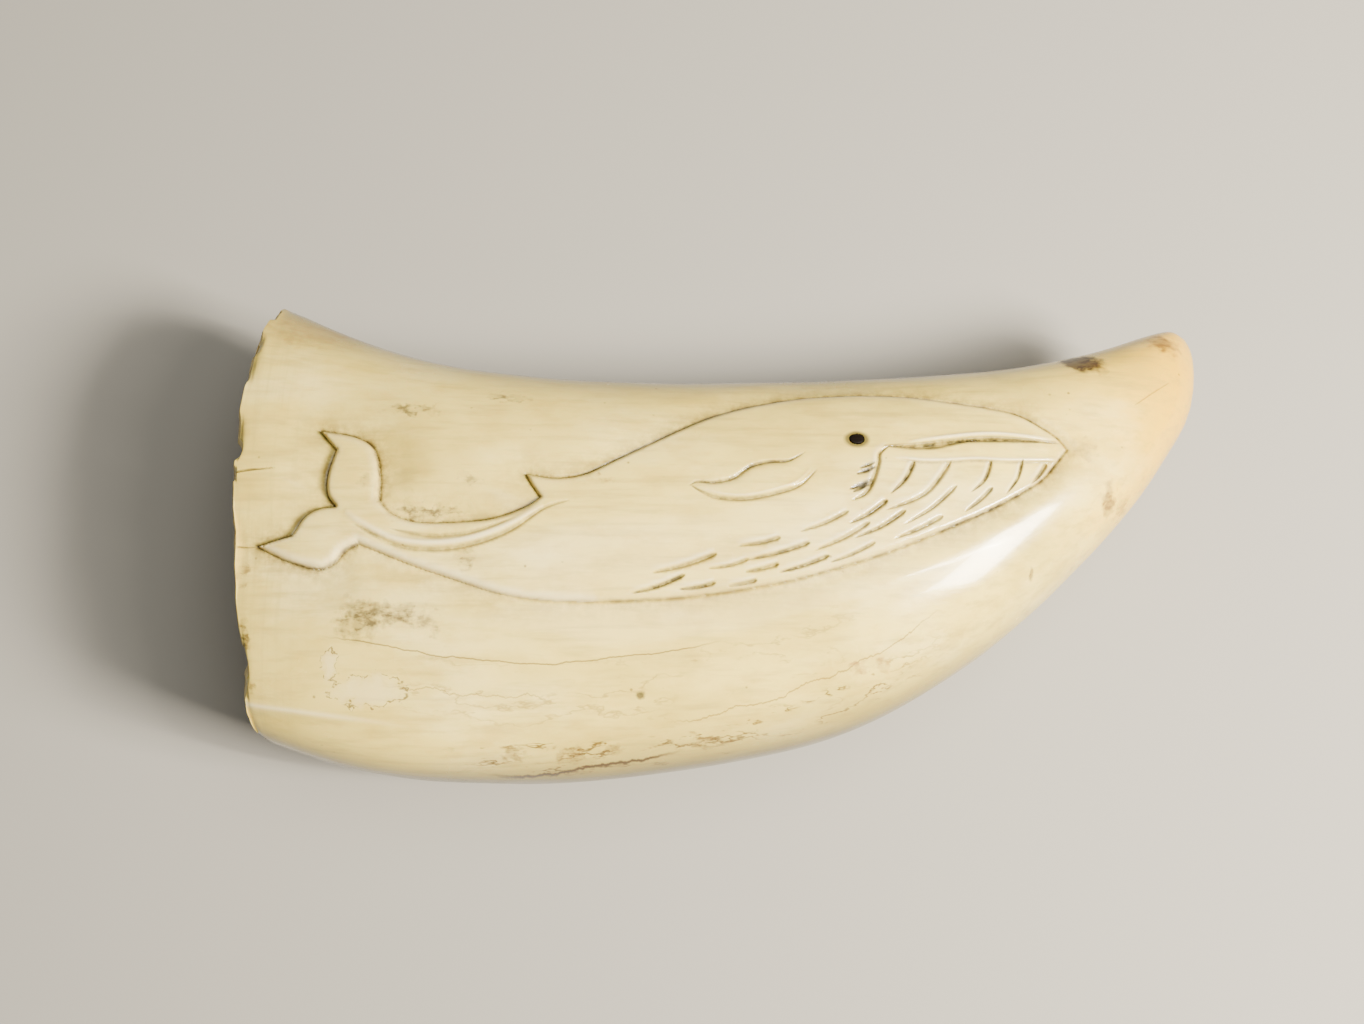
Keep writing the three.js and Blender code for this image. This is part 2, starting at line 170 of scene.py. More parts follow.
class NaturalSpline:
    """A natural cubic spline through values at 0, 1, 2 and so on."""

    def __init__(self, values: tuple[float, ...]) -> None:
        """Solves for the bend at each value."""
        self.values = np.array(values, float)
        self.last = len(values) - 1
        count = len(values)
        system, wanted = np.eye(count), np.zeros(count)
        for i in range(1, count - 1):
            system[i, i - 1 : i + 2] = 1, 4, 1
            wanted[i] = 6 * (values[i - 1] - 2 * values[i] + values[i + 1])
        self.bend = np.linalg.solve(system, wanted)

    def __call__(self, at: Array) -> Array:
        """The spline's value at each place."""
        i = np.clip(np.floor(at).astype(int), 0, self.last - 1)
        after = at - i
        before = 1 - after
        straight = before * self.values[i] + after * self.values[i + 1]
        bent = (before**3 - before) * self.bend[i] + (after**3 - after) * self.bend[i + 1]
        return straight + bent / 6


class Waves:
    """A smooth unevenness made of many faint waves in seeded directions."""

    crest = 1.6  # how high nearly all of it stays under, before it is scaled

    def __init__(self, seed: int, shortest: float, longest: float, count: int = 24) -> None:
        """Draws the waves, with lengths between the two given, in millimetres."""
        draw = np.random.default_rng(seed)
        ways = draw.normal(size=(count, 3))
        ways /= np.linalg.norm(ways, axis=1)[:, None]
        lengths = np.exp(draw.uniform(np.log(shortest), np.log(longest), count))
        self.ways = ways * (2 * np.pi / lengths)[:, None]
        self.starts = draw.uniform(0, 2 * np.pi, count)
        self.share = math.sqrt(2 / count) / self.crest

    def __call__(self, places: Array) -> Array:
        """The unevenness at each place in space, mostly between -1 and 1."""
        return np.sin(places @ self.ways.T + self.starts).sum(1) * self.share


# The tooth's own form


@dataclass(frozen=True)
class Rib:
    """One rib of the tooth: both edges of its outline in plan, and half its thickness."""

    upper: tuple[float, float]
    lower: tuple[float, float]
    half: float


RIBS = (
    Rib((-69.9, 36.9), (-69.4, -30.8), 18.5),
    Rib((-58.3, 32.2), (-58.4, -34.1), 19.5),
    Rib((-46.2, 28.4), (-46.3, -36.2), 20.2),
    Rib((-33.7, 26.1), (-32.9, -37.0), 20.5),
    Rib((-18.3, 24.8), (-18.0, -36.5), 20.5),
    Rib((-2.9, 24.4), (-1.4, -34.4), 20.2),
    Rib((12.5, 24.7), (15.2, -30.8), 19.6),
    Rib((24.8, 25.2), (28.8, -24.9), 18.6),
    Rib((35.7, 25.9), (40.2, -17.5), 17.2),
    Rib((45.0, 26.9), (49.7, -9.6), 15.6),
    Rib((53.6, 28.4), (58.4, -1.1), 13.4),
    Rib((61.1, 30.5), (65.0, 6.4), 11.0),
    Rib((66.9, 32.6), (70.0, 13.4), 8.6),
    Rib((70.8, 33.7), (73.6, 19.8), 5.6),
    Rib((72.3, 33.5), (75.0, 27.7), 3.0),
    Rib((74.2, 32.6), (74.2, 32.6), 0.0),
)


class ToothForm:
    """The tooth's smooth form: every point has a rib, an angle round it, and shares of its size."""

    mid_height = 19.7
    body_squareness = 2.25
    root_squareness = 4.0
    squareness_fade = 4.5
    rim_line = NaturalSpline((2.1, 1.5, 0.7, 0.1, -0.7, -0.85, -0.2, 0.8, 2.1))
    rim_under_bow = 4.4
    rim_bow_power = 4.2
    rim_fade = 1.1
    pulp_wall = 3.4
    pulp_end = 4.6
    pulp_taper_power = 1.5
    pulp_tip_power = 0.9
    rib_gap = 11.5  # the length between the first ribs
    rim_stations = (0.0, 0.03, 0.09)
    fewest_steps = 3  # stations from one rib to the next

    def __init__(self, ribs: tuple[Rib, ...] = RIBS) -> None:
        """Draws the splines through the ribs' edges and thickness."""
        self.last = len(ribs) - 1
        self.upper = [NaturalSpline(tuple(rib.upper[axis] for rib in ribs)) for axis in (0, 1)]
        self.lower = [NaturalSpline(tuple(rib.lower[axis] for rib in ribs)) for axis in (0, 1)]
        self.half_thickness = NaturalSpline(tuple(rib.half for rib in ribs))

    def section(self, rib: Array) -> tuple[Array, Array]:
        """A section's middle in plan, and the way from there to its upper edge."""
        upper = np.stack([spline(rib) for spline in self.upper], -1)
        lower = np.stack([spline(rib) for spline in self.lower], -1)
        return (upper + lower) / 2, (upper - lower) / 2

    def squareness(self, rib: Array, across: Array) -> Array:
        """How square the section is: an ellipse has 2, and the root's lower shoulder is squarer."""
        root = (1 - smoothstep(rib, 0, self.squareness_fade)) * (across <= 0)
        return self.body_squareness + root * (self.root_squareness - self.body_squareness)

    def rim_offset(self, rib: Array, across: Array, up: Array) -> Array:
        """How far behind its section a point near the broken rim lies."""
        share = np.clip((across + 1) / 2, 0, 1)
        line = self.rim_line(share * self.rim_line.last)
        bow = self.rim_under_bow * (1 - up) * (1 - np.minimum(abs(across), 1) ** self.rim_bow_power)
        return (line - bow / 2) * bell(rib, self.rim_fade)

    def points(self, rib: Array, angle: Array, across: Array, up: Array) -> Array:
        """Points of the tooth in space.

        Args:
            rib: The rib that each point's section is at.
            angle: The angle round the section: 0 is the upper edge, a quarter turn the carved face.
            across: The share of the section's width that the point lies out at.
            up: The same share for its thickness.

        Returns:
            The points, one row each, in millimetres.
        """
        cos, sin = np.cos(angle), np.sin(angle)
        power = self.squareness(rib, cos)
        radius = (abs(cos) ** power + abs(sin) ** power) ** (-1 / power)
        out, rise = cos * radius * across, sin * radius * up
        middle, half = self.section(rib)
        x = middle[:, 0] + half[:, 0] * out + self.rim_offset(rib, out, rise)
        y = middle[:, 1] + half[:, 1] * out
        return np.stack([x, y, self.mid_height + self.half_thickness(rib) * rise], -1)

    def wall_shares(self, rib: Array) -> tuple[Array, Array]:
        """The pulp cavity's shares of the width and of the thickness at a rib."""
        deep = np.clip(rib / self.pulp_end, 0, 1)
        taper = (1 - deep**self.pulp_taper_power) ** self.pulp_tip_power
        width = np.linalg.norm(self.section(rib)[1], axis=1)
        across = taper * (1 - self.pulp_wall / width)
        return across, taper * (1 - self.pulp_wall / self.half_thickness(rib))

    def stations(self, spacing: float) -> list[float]:
        """Ribs about one spacing apart along the tooth, closer together behind the rim."""
        found = list(self.rim_stations)
        for i in range(self.last):
            ends = self.section(np.array([i, i + 1.0]))[0]
            length = float(np.linalg.norm(ends[1] - ends[0]))
            steps = max(self.fewest_steps, round(length / spacing))
            found += [i + step / steps for step in range(steps) if i + step > 0]
        return [*found, float(self.last)]


# The carving


@dataclass(frozen=True)
class CarvedEdge:
    """One edge of the whale's outline.

    Args:
        points: The places that it runs through.
        grime_and_shade: How much old grime and painted shade its corner holds.
        kerf: How deep the knife went at its foot.
        rounding: How wide its worn wall is.
        painted_highlight: How bright the painted highlight on that worn wall is.
    """

    points: Points
    grime_and_shade: float
    kerf: float
    rounding: float
    painted_highlight: float = 0.2


BACK = (
    (50.8, 10.7), (49.5, 12.3), (47.3, 13.9), (42.7, 16.4), (34.8, 18.1), (26.7, 19.4), (17.9, 19.6),
    (10.1, 18.9), (-0.9, 15.7), (-9.7, 11.2), (-15.7, 8.0), (-19.6, 6.0), (-23.6, 5.4), (-28.0, 6.0),
)
DORSAL_FIN = ((-28.0, 6.0), (-27.1, 4.4), (-25.8, 2.5))
STOCK_TOP = (
    (-25.8, 2.5), (-28.1, 0.9), (-32.5, -0.7), (-38.0, -1.2), (-43.5, -1.1), (-46.9, 0.1), (-48.8, 2.0),
)
FAR_FLUKE_FRONT = (
    (-48.8, 2.0), (-48.9, 5.6), (-49.4, 8.3), (-50.5, 10.5), (-53.4, 12.0), (-58.2, 12.9),
)
FAR_FLUKE_TIP = ((-58.2, 12.9), (-56.9, 11.4), (-55.5, 9.8))
FAR_FLUKE_REAR = ((-55.5, 9.8), (-56.4, 6.1), (-56.3, 3.1), (-55.0, 1.2))
NEAR_FLUKE_REAR = ((-55.0, 1.2), (-57.3, 0.9), (-59.4, -0.3), (-61.1, -3.0))
NEAR_FLUKE_TIP = ((-61.1, -3.0), (-63.6, -3.7), (-66.0, -4.5))
NEAR_FLUKE_FRONT = (
    (-66.0, -4.5), (-61.9, -6.5), (-57.3, -7.8), (-54.9, -7.0), (-53.4, -5.2), (-51.5, -4.2),
)
STOCK_BELLY = (
    (-51.5, -4.2), (-43.9, -7.3), (-38.1, -9.3), (-31.2, -11.5), (-24.5, -12.5), (-17.1, -12.7),
)
BELLY = ((-17.1, -12.7), (-5.4, -12.0), (6.1, -10.3), (15.6, -7.9), (24.1, -5.1), (31.6, -2.0))
CHIN = ((31.6, -2.0), (39.4, 1.6), (46.2, 5.6), (49.2, 8.8), (50.8, 10.7))
WHALE = (
    # painted_highlight: strongest on walls facing the lower right, none on the back, which faces away
    CarvedEdge(BACK, grime_and_shade=0.75, kerf=0.25, rounding=0.6, painted_highlight=0.0),
    CarvedEdge(DORSAL_FIN, grime_and_shade=0.55, kerf=0.2, rounding=0.6),
    CarvedEdge(STOCK_TOP, grime_and_shade=0.6, kerf=0.15, rounding=0.7),
    CarvedEdge(FAR_FLUKE_FRONT, grime_and_shade=0.95, kerf=0.15, rounding=0.9),
    CarvedEdge(FAR_FLUKE_TIP, grime_and_shade=0.6, kerf=0.15, rounding=0.6),
    CarvedEdge(FAR_FLUKE_REAR, grime_and_shade=0.85, kerf=0.2, rounding=0.8),
    CarvedEdge(NEAR_FLUKE_REAR, grime_and_shade=0.65, kerf=0.15, rounding=0.8),
    CarvedEdge(NEAR_FLUKE_TIP, grime_and_shade=0.95, kerf=0.15, rounding=0.6, painted_highlight=0.6),
    CarvedEdge(NEAR_FLUKE_FRONT, grime_and_shade=0.9, kerf=0.15, rounding=1.0, painted_highlight=0.6),
    CarvedEdge(STOCK_BELLY, grime_and_shade=0.4, kerf=0.1, rounding=1.0, painted_highlight=0.7),
    CarvedEdge(BELLY, grime_and_shade=0.55, kerf=0.12, rounding=0.8),
    CarvedEdge(CHIN, grime_and_shade=0.9, kerf=0.2, rounding=0.55, painted_highlight=0.3),
)


class StrokeStart(Enum):
    """How a cut line begins. Each one ends in a taper."""

    TAPERED = "tapered"
    BLUNT = "blunt"


@dataclass(frozen=True)
class Stroke:
    """A line cut into the carved face.

    Args:
        points: The places that it runs through.
        width: Its width where it is fullest.
        depth: Its depth there.
        pigment: How dark the pigment in it is.
        burr: How high the raised lip on its right side is.
        start: How it begins.
    """

    points: Points
    width: float
    depth: float
    pigment: float = 0.7
    burr: float = 0.0
    start: StrokeStart = StrokeStart.TAPERED
    margin = 1.5  # widths beside it that it may change
    least = 0.02  # the share of its fullness that its ends keep
    groove_power = 0.8
    burr_at, burr_width = 0.8, 0.36  # in widths beside it
    # burr_highlight: how bright the painted highlight on the burr is
    burr_highlight = 0.8
    pigment_full, pigment_fall = 1.6, 1.2
    pigment_hold = 2.5  # its pigment is whole until the taper is thinner than one part in this
    blunt_run = 0.1  # the share of its length in which a blunt start swells
    taper_bend, taper_power = 2.4, 0.6

    def fullness(self, share: Array) -> Array:
        """The share of its width and depth that the stroke has along its way."""
        if self.start is StrokeStart.BLUNT:
            swelling = np.minimum(1, np.sqrt(share / self.blunt_run))
            return swelling * np.maximum(1 - share**self.taper_bend, 0) ** self.taper_power
        return np.sqrt(np.maximum(np.sin(np.pi * share), 0))


STROKES = (
    Stroke(
        ((23.9, 10.4), (28.4, 10.5), (32.9, 11.2), (38.6, 11.7), (43.8, 11.7), (50.0, 11.5)),
        0.45, 0.25, 1.0,
    ),
    Stroke(
        ((24.4, 10.6), (22.9, 9.3), (22.6, 7.8), (21.7, 5.1), (20.5, 3.1), (18.4, 2.0)),
        0.8, 0.5, 0.85, burr=0.08,
    ),
    Stroke(((22.4, 7.3), (20.9, 6.6), (19.3, 6.0)), 0.8, 0.25, 1.0),
    Stroke(((22.2, 7.9), (21.0, 7.4), (19.8, 6.9)), 0.65, 0.2, 1.0),
    Stroke(((21.9, 5.4), (20.0, 4.4), (18.2, 3.7)), 0.9, 0.3, 1.0),
    Stroke(((21.7, 4.7), (19.9, 3.9), (18.7, 3.3)), 0.7, 0.25, 1.0),
    Stroke(
        (
            (-4.7, 4.0), (-3.6, 4.7), (-1.1, 4.6), (1.7, 5.3), (4.0, 7.0), (6.7, 7.8), (9.6, 8.0),
            (12.2, 9.5),
        ),
        0.65, 0.38, 0.9,
    ),
    Stroke(
        ((-4.7, 4.4), (-2.9, 3.2), (-0.4, 2.2), (3.6, 2.1), (8.3, 3.1), (11.3, 4.3), (13.8, 6.8)),
        0.7, 0.38, 0.75,
    ),
    Stroke(
        (
            (-52.4, -1.4), (-46.1, -4.6), (-40.6, -5.3), (-35.2, -4.6), (-29.8, -2.5), (-25.2, 0.7),
            (-21.4, 1.9),
        ),
        0.9, 0.45, 0.6,
    ),
    Stroke(((-46.9, -2.3), (-41.7, -3.3), (-38.3, -3.2), (-34.9, -2.7), (-29.8, -0.9)), 0.7, 0.28, 0.55),
    Stroke(((-75.0, 6.2), (-70.2, 6.4), (-67.5, 6.7), (-63.9, 7.0)), 0.4, 0.4, 0.7),
    Stroke(((-75.0, -4.3), (-69.7, -4.5), (-66.0, -4.5)), 0.3, 0.3, 0.5),
    Stroke(((62.1, 18.4), (65.5, 20.9), (68.8, 23.0)), 0.35, 0.08, 0.35),
)


@dataclass(frozen=True)
class Bead:
    """A fine raised line on the carved face."""

    points: Points
    width: float
    height: float
    # painted_highlight: how bright the crest is painted, over rubbed wear
    painted_highlight: float = 1.0
    crest_power = 1.5


BEADS = (
    Bead(
        (
            (-53.5, 0.4), (-51.2, -1.2), (-46.1, -3.7), (-40.6, -4.3), (-35.2, -3.6), (-29.8, -1.5),
            (-25.4, 1.4),
        ),
        1.2, 0.35,
    ),
    Bead(((27.0, 11.2), (32.9, 12.2), (38.6, 12.8), (43.8, 12.6), (49.5, 12.1)), 0.7, 0.2),
    Bead(
        ((-4.0, 3.9), (-2.4, 3.5), (0.4, 2.8), (3.9, 2.7), (8.0, 3.7), (10.9, 4.9), (12.9, 7.0)),
        0.6, 0.12, 0.4,
    ),
)
PLEAT_ROWS = (  # start x, y, end x, y, and how far the middle bows
    (27.9, 8.2, 24.4, 3.5, 0.5), (33.3, 8.4, 24.1, 1.3, 1.6), (39.2, 8.5, 36.1, 4.0, 0.7),
    (43.9, 8.8, 41.3, 3.9, 0.5), (47.5, 8.4, 45.2, 5.5, 0.2), (33.9, 4.6, 26.4, -1.0, 0.5),
    (39.2, 4.5, 35.2, 1.0, 0.2), (31.7, 0.0, 25.1, -3.2, 0.2), (23.7, 2.2, 18.5, -1.1, 0.3),
    (26.3, 0.7, 19.4, -3.1, 0.4), (18.1, 0.5, 11.5, -2.4, 0.3), (21.1, -1.1, 13.7, -5.0, 0.3),
    (21.8, -4.0, 15.7, -6.8, 0.2), (15.2, -6.0, 8.6, -8.3, 0.2), (12.5, -4.2, 4.2, -6.6, 0.2),
    (8.3, -3.5, 2.7, -4.7, 0.2), (3.8, -6.6, -1.5, -7.9, 0.3), (8.0, -7.3, 3.5, -8.4, 0.1),
    (4.9, -9.6, 1.1, -10.4, 0.1), (-0.7, -5.9, -9.2, -8.5, 0.3), (-0.9, -10.0, -5.8, -10.9, 0.2),
    (-5.2, -8.9, -12.3, -11.4, 0.3),
)


@dataclass(frozen=True)
class Relief:
    """What the carving does at each place.

    Args:
        rise: How far it lifts the face, in millimetres.
        pigment: How much dark pigment and painted shadow line it holds, from 0 to 1.
        grime_and_shade: The same for old tan grime, partly painted shade in the corners round the whale.
        wear_and_highlight: How bright it is from rubbed wear and painted highlights, from 0 to 1.
    """

    rise: Array
    pigment: Array
    grime_and_shade: Array
    wear_and_highlight: Array

    @classmethod
    def flat(cls, count: int) -> "Relief":
        """An uncarved face."""
        return cls(*(np.zeros(count) for _ in range(4)))

    def darken(self, where: Array, pigment: Array) -> None:
        """Adds pigment and painted shadow lines where they are darker than what is there."""
        self.pigment[where] = np.maximum(self.pigment[where], pigment)

    def soil_and_shade(self, where: Array, grime_and_shade: Array) -> None:
        """Adds grime and painted shade in the same way."""
        self.grime_and_shade[where] = np.maximum(self.grime_and_shade[where], grime_and_shade)

    def brighten(self, where: Array, wear_and_highlight: Array) -> None:
        """Adds rubbed wear and painted highlight in the same way."""
        self.wear_and_highlight[where] = np.maximum(self.wear_and_highlight[where], wear_and_highlight)


def search(
    points: Points, places: Array, margin: float, closed: bool = False
) -> tuple[Array, Nearest, Array | None]:
    """Measures the places near a smooth line against it.

    Args:
        points: The places that the line runs through.
        places: The places in plan.
        margin: How far beside the line they are looked for.
        closed: Whether the line goes back to its start.

    Returns:
        Which places are near, how they lie to the line, and for a closed line how far inside it.
    """
    line = smooth_line((*points, points[0]) if closed else points)
    near = near_box(line, places, margin)
    found = nearest_on(line, places[near])
    if not closed:
        return near, found, None
    return near, found, np.where(is_inside(line, places[near]), found.distance, 0)


@dataclass(frozen=True)
class Carving:
    """The whale in relief, with its strokes, mouth, lip, flipper and the seat of its eye.

    Pigment, wear and painted highlight, and tint are shares of the fullest, and a span holds where
    something starts to change and where it has changed.
    """

    closeness_reach: float = 4.0
    ground_stations: tuple[float, ...] = (-45, -20, 20, 48)
    ground_depth: tuple[float, ...] = (1.25, 0.75, 0.75, 0.4)
    ground_reach: tuple[float, ...] = (9, 5.5, 4, 3)
    ground_tint: float = 0.22
    swell_height: float = 0.2
    swell_width: float = 6
    kerf_width: float = 0.32
    # the dark line and grime at the foot of the whale's wall are partly painted shade in the corner
    foot_pigment_and_shade: float = 0.95
    foot_width: float = 0.2
    foot_width_by_grime_and_shade: float = 0.14
    foot_climb: float = 0.18
    soil_and_shade_width: float = 1.5
    soil_and_shade_climb: float = 0.4
    brow_polish: float = 0.15
    brow_width: float = 0.4
    highlight_span: Span = (0.7, 1.4)  # in widths of the worn wall
    mouth: Points = (
        (23.7, 10.5), (28.4, 10.9), (32.9, 11.5), (38.6, 12.1), (43.8, 12.0), (49.1, 11.7),
        (41.9, 11.3), (36.0, 11.2), (31.7, 10.2), (28.9, 9.9), (26.1, 10.1),
    )
    mouth_margin: float = 1
    mouth_depth: float = 0.5
    mouth_wall: float = 0.45
    mouth_pigment: float = 0.85
    mouth_shore: float = 0.15
    mouth_edge_shadow: float = 0.75
    mouth_edge_width: float = 0.16
    lip: Points = ((24.4, 8.7), (28.6, 8.2), (32.6, 8.3), (36.8, 8.6), (41.7, 8.5), (49.5, 8.9))
    lip_margin: float = 6
    lip_whole: Span = (0.15, 0.93)  # the shares of its length between which it is whole
    lip_drop: float = 0.32
    lip_reach: float = 2.4
    lip_wall: float = 0.2
    lip_bead: float = 0.16
    lip_bead_width: float = 0.24
    lip_shadow: float = 0.6
    lip_shadow_below: float = 0.22
    lip_shadow_width: float = 0.2
    flipper: Points = (
        (-4.7, 4.2), (-3.6, 4.7), (-1.1, 4.6), (1.7, 5.3), (4.0, 7.0), (6.7, 7.8), (9.6, 8.0),
        (12.6, 9.2), (13.8, 6.8), (11.3, 4.3), (8.3, 3.1), (3.6, 2.1), (-0.4, 2.2), (-2.9, 3.2),
    )
    flipper_rise: float = 0.28
    flipper_wall: float = 1.1
    flipper_root: Span = (8.0, 13.0)
    shoulder: Points = ((-70.0, -26.2), (-58.0, -27.9), (-46.4, -29.5), (-36.0, -31.4))
    shoulder_margin: float = 12
    shoulder_drop: float = 0.5
    shoulder_wall: float = 1.3
    shoulder_foot: Span = (4, 11)
    shoulder_end: Span = (-62, -40)
    shoulder_highlight: float = 0.8
    shoulder_crest: float = 0.32
    eye_at: tuple[float, float] = (19.7, 11.6)
    eye_half: tuple[float, float] = (1.02, 0.77)
    seat_gap: float = 0.06
    seat_depth: float = 1.2
    seat_wall: Span = (0.97, 1.03)  # in half sizes of the seat, and so is the ring
    seat_ring: Span = (1.0, 1.08)
    pleat_width: float = 0.68
    pleat_depth: float = 0.42
    pleat_burr: float = 0.08
    pleat_overrun: float = 1.1
    pleat_weights: Span = (0.85, 1.25)
    pleat_pigments: Span = (0.7, 1.0)
    pleat_seed: int = 7

    def outline(self) -> tuple[Array, Array]:
        """The whale's closed outline, and each of its points' traits, in the edges' order."""
        places, traits = [], []
        for edge in WHALE:
            line = smooth_line(edge.points)[:-1]
            places.append(line)
            trait = [edge.grime_and_shade, edge.kerf, edge.rounding, edge.painted_highlight]
            traits.append(np.tile(trait, (len(line), 1)))
        line, kinds = np.vstack(places), np.vstack(traits)
        return np.vstack([line, line[:1]]), np.vstack([kinds, kinds[:1]])

    def strokes(self) -> list[Stroke]:
        """Every cut line: the drawn ones, and the pleats, which end in a taper and all differ."""
        draw = np.random.default_rng(self.pleat_seed)
        found = list(STROKES)
        for start_x, start_y, end_x, end_y, bow in PLEAT_ROWS:
            start, end = np.array([start_x, start_y]), np.array([end_x, end_y])
            end = start + (end - start) * self.pleat_overrun
            along = (end - start) / np.linalg.norm(end - start)
            middle = (start + end) / 2 + np.array([-along[1], along[0]]) * bow
            heavy = draw.uniform(*self.pleat_weights)
            width, depth = self.pleat_width * heavy, self.pleat_depth * heavy
            points = (tuple(start), tuple(middle), tuple(end))
            pigment = draw.uniform(*self.pleat_pigments)
            found.append(Stroke(points, width, depth, pigment, self.pleat_burr, StrokeStart.BLUNT))
        return found

    def closeness(self, places: Array) -> Array:
        """The distance in plan from each place to the nearest carved line."""
        lines = [self.outline()[0], smooth_line((*self.mouth, self.mouth[0]))]
        lines += [smooth_line(points) for points in (self.lip, self.shoulder)]
        lines += [smooth_line(line.points) for line in (*self.strokes(), *BEADS)]
        nearest = np.hypot(*(places - self.eye_at).T) - self.eye_half[0]
        for line in lines:
            near = near_box(line, places, self.closeness_reach)
            nearest[near] = np.minimum(nearest[near], nearest_on(line, places[near]).distance)
        return nearest

    def ground(self, x: Array) -> tuple[Array, Array]:
        """The depth and reach of the ground beside the whale, by the place along the tooth."""
        depth, reach = (np.full(len(x), float(v[0])) for v in (self.ground_depth, self.ground_reach))
        for i in range(1, len(self.ground_stations)):
            share = smoothstep(x, self.ground_stations[i - 1], self.ground_stations[i])
            depth += (self.ground_depth[i] - self.ground_depth[i - 1]) * share
            reach += (self.ground_reach[i] - self.ground_reach[i - 1]) * share
        return depth, reach

    def relief(self, places: Array) -> Relief:
        """Works out the carving at places in plan."""
        face = Relief.flat(len(places))
        self._carve_whale(places, face)
        self._break_shoulder(places, face)
        self._carve_flipper(places, face)
        self._carve_lip(places, face)
        self._hollow_mouth(places, face)
        for stroke in self.strokes():
            self._cut(stroke, places, face)
        for bead in BEADS:
            self._raise(bead, places, face)
        self._seat_eye(places, face)
        return face

    def _carve_whale(self, places: Array, face: Relief) -> None:
        """Sinks the ground round the whale, wears down its wall and swells its body."""
        line, traits = self.outline()
        near = near_box(line, places, max(self.ground_reach))
        here = places[near]
        found = nearest_on(line, here)
        lengths = np.linalg.norm(np.diff(line, axis=0), axis=1)
        marks = np.concatenate([[0], np.cumsum(lengths)]) / lengths.sum()
        grime_and_shade, kerf, rounding, painted_highlight = (np.interp(found.share, marks, trait) for trait in traits.T)
        inside = is_inside(line, here)
        out = np.where(inside, -found.distance, found.distance)
        beyond, within = np.maximum(out, 0), np.maximum(-out, 0)
        depth, reach = self.ground(here[:, 0])
        ground = 1 - smoothstep(beyond / reach, 0, 1)
        sunk = depth * ground + kerf * np.clip(1 - beyond / self.kerf_width, 0, 1)
        wall = 1 - np.sqrt(1 - (1 - np.clip(within / rounding, 0, 1)) ** 2)
        swell = self.swell_height * (1 - (1 - np.clip(within / self.swell_width, 0, 1)) ** 2)
        face.rise[near] += np.where(inside, swell - (depth + kerf) * wall, -sunk)
        # a dark line at the wall's foot: pigment, and partly painted shade in the corner
        foot = bell(beyond, self.foot_width + self.foot_width_by_grime_and_shade * grime_and_shade)
        face.darken(near, self.foot_pigment_and_shade * grime_and_shade * foot * bell(within, self.foot_climb))
        # grime beside the wall, partly painted shade in the corner, and a tan tint on the sunk ground
        soft = grime_and_shade * np.exp(-beyond / self.soil_and_shade_width) * np.exp(-within / self.soil_and_shade_climb)
        face.soil_and_shade(near, np.maximum(soft, self.ground_tint * ground * (1 - inside)))
        # worn is rubbed wear on the wall's brow; bright is a painted highlight on the wall
        worn = inside * bell(within - rounding, self.brow_width) * self.brow_polish
        bright = painted_highlight * inside * (1 - smoothstep(within / rounding, *self.highlight_span))
        face.brighten(near, np.maximum(worn, bright))

    def _break_shoulder(self, places: Array, face: Relief) -> None:
        """Turns the root's lower shoulder down in a soft fold, with a painted highlight on its crest."""
        near, found, _ = search(self.shoulder, places, self.shoulder_margin)
        side = found.side
        fade = 1 - smoothstep(places[near, 0], *self.shoulder_end)
        drop = smoothstep(-side, 0, self.shoulder_wall) * (1 - smoothstep(-side, *self.shoulder_foot))
        face.rise[near] -= self.shoulder_drop * drop * fade
        # painted highlight along the shoulder's crest
        face.brighten(near, bell(side, self.shoulder_crest) * fade * self.shoulder_highlight)

    def _carve_flipper(self, places: Array, face: Relief) -> None:
        """Raises the flipper a little, fading into the body at its root."""
        near, _, inward = search(self.flipper, places, 0, closed=True)
        fade = 1 - smoothstep(places[near, 0], *self.flipper_root)
        face.rise[near] += self.flipper_rise * smoothstep(inward, 0, self.flipper_wall) * fade

    def _carve_lip(self, places: Array, face: Relief) -> None:
        """Drops the throat below the lip; its edge is a bead with a painted highlight, painted shadow
        under.
        """
        near, found, _ = search(self.lip, places, self.lip_margin)
        first, last = self.lip_whole
        ends = smoothstep(found.share, 0, first) * (1 - smoothstep(found.share, last, 1.0))
        below = bell(np.minimum(found.side, 0), self.lip_reach)
        below *= smoothstep(-found.side, 0, self.lip_wall)
        bead = bell(found.side - self.lip_wall, self.lip_bead_width) * ends
        face.rise[near] += self.lip_bead * bead - self.lip_drop * below * ends
        # painted shadow: a dark line under the lip's bead
        dark = bell(found.side + self.lip_shadow_below, self.lip_shadow_width)
        face.darken(near, ends * dark * self.lip_shadow)
        # painted highlight on the lip's bead
        face.brighten(near, bead)

    def _hollow_mouth(self, places: Array, face: Relief) -> None:
        """Sinks the long lens between the jaws, stained on its floor, with painted shadow at its edges.
        """
        near, found, inward = search(self.mouth, places, self.mouth_margin, closed=True)
        face.rise[near] -= self.mouth_depth * smoothstep(inward, 0, self.mouth_wall)
        face.darken(near, self.mouth_pigment * smoothstep(inward, 0, self.mouth_shore))
        # painted shadow: dark lines along the mouth's edges
        face.darken(near, self.mouth_edge_shadow * bell(found.distance, self.mouth_edge_width))

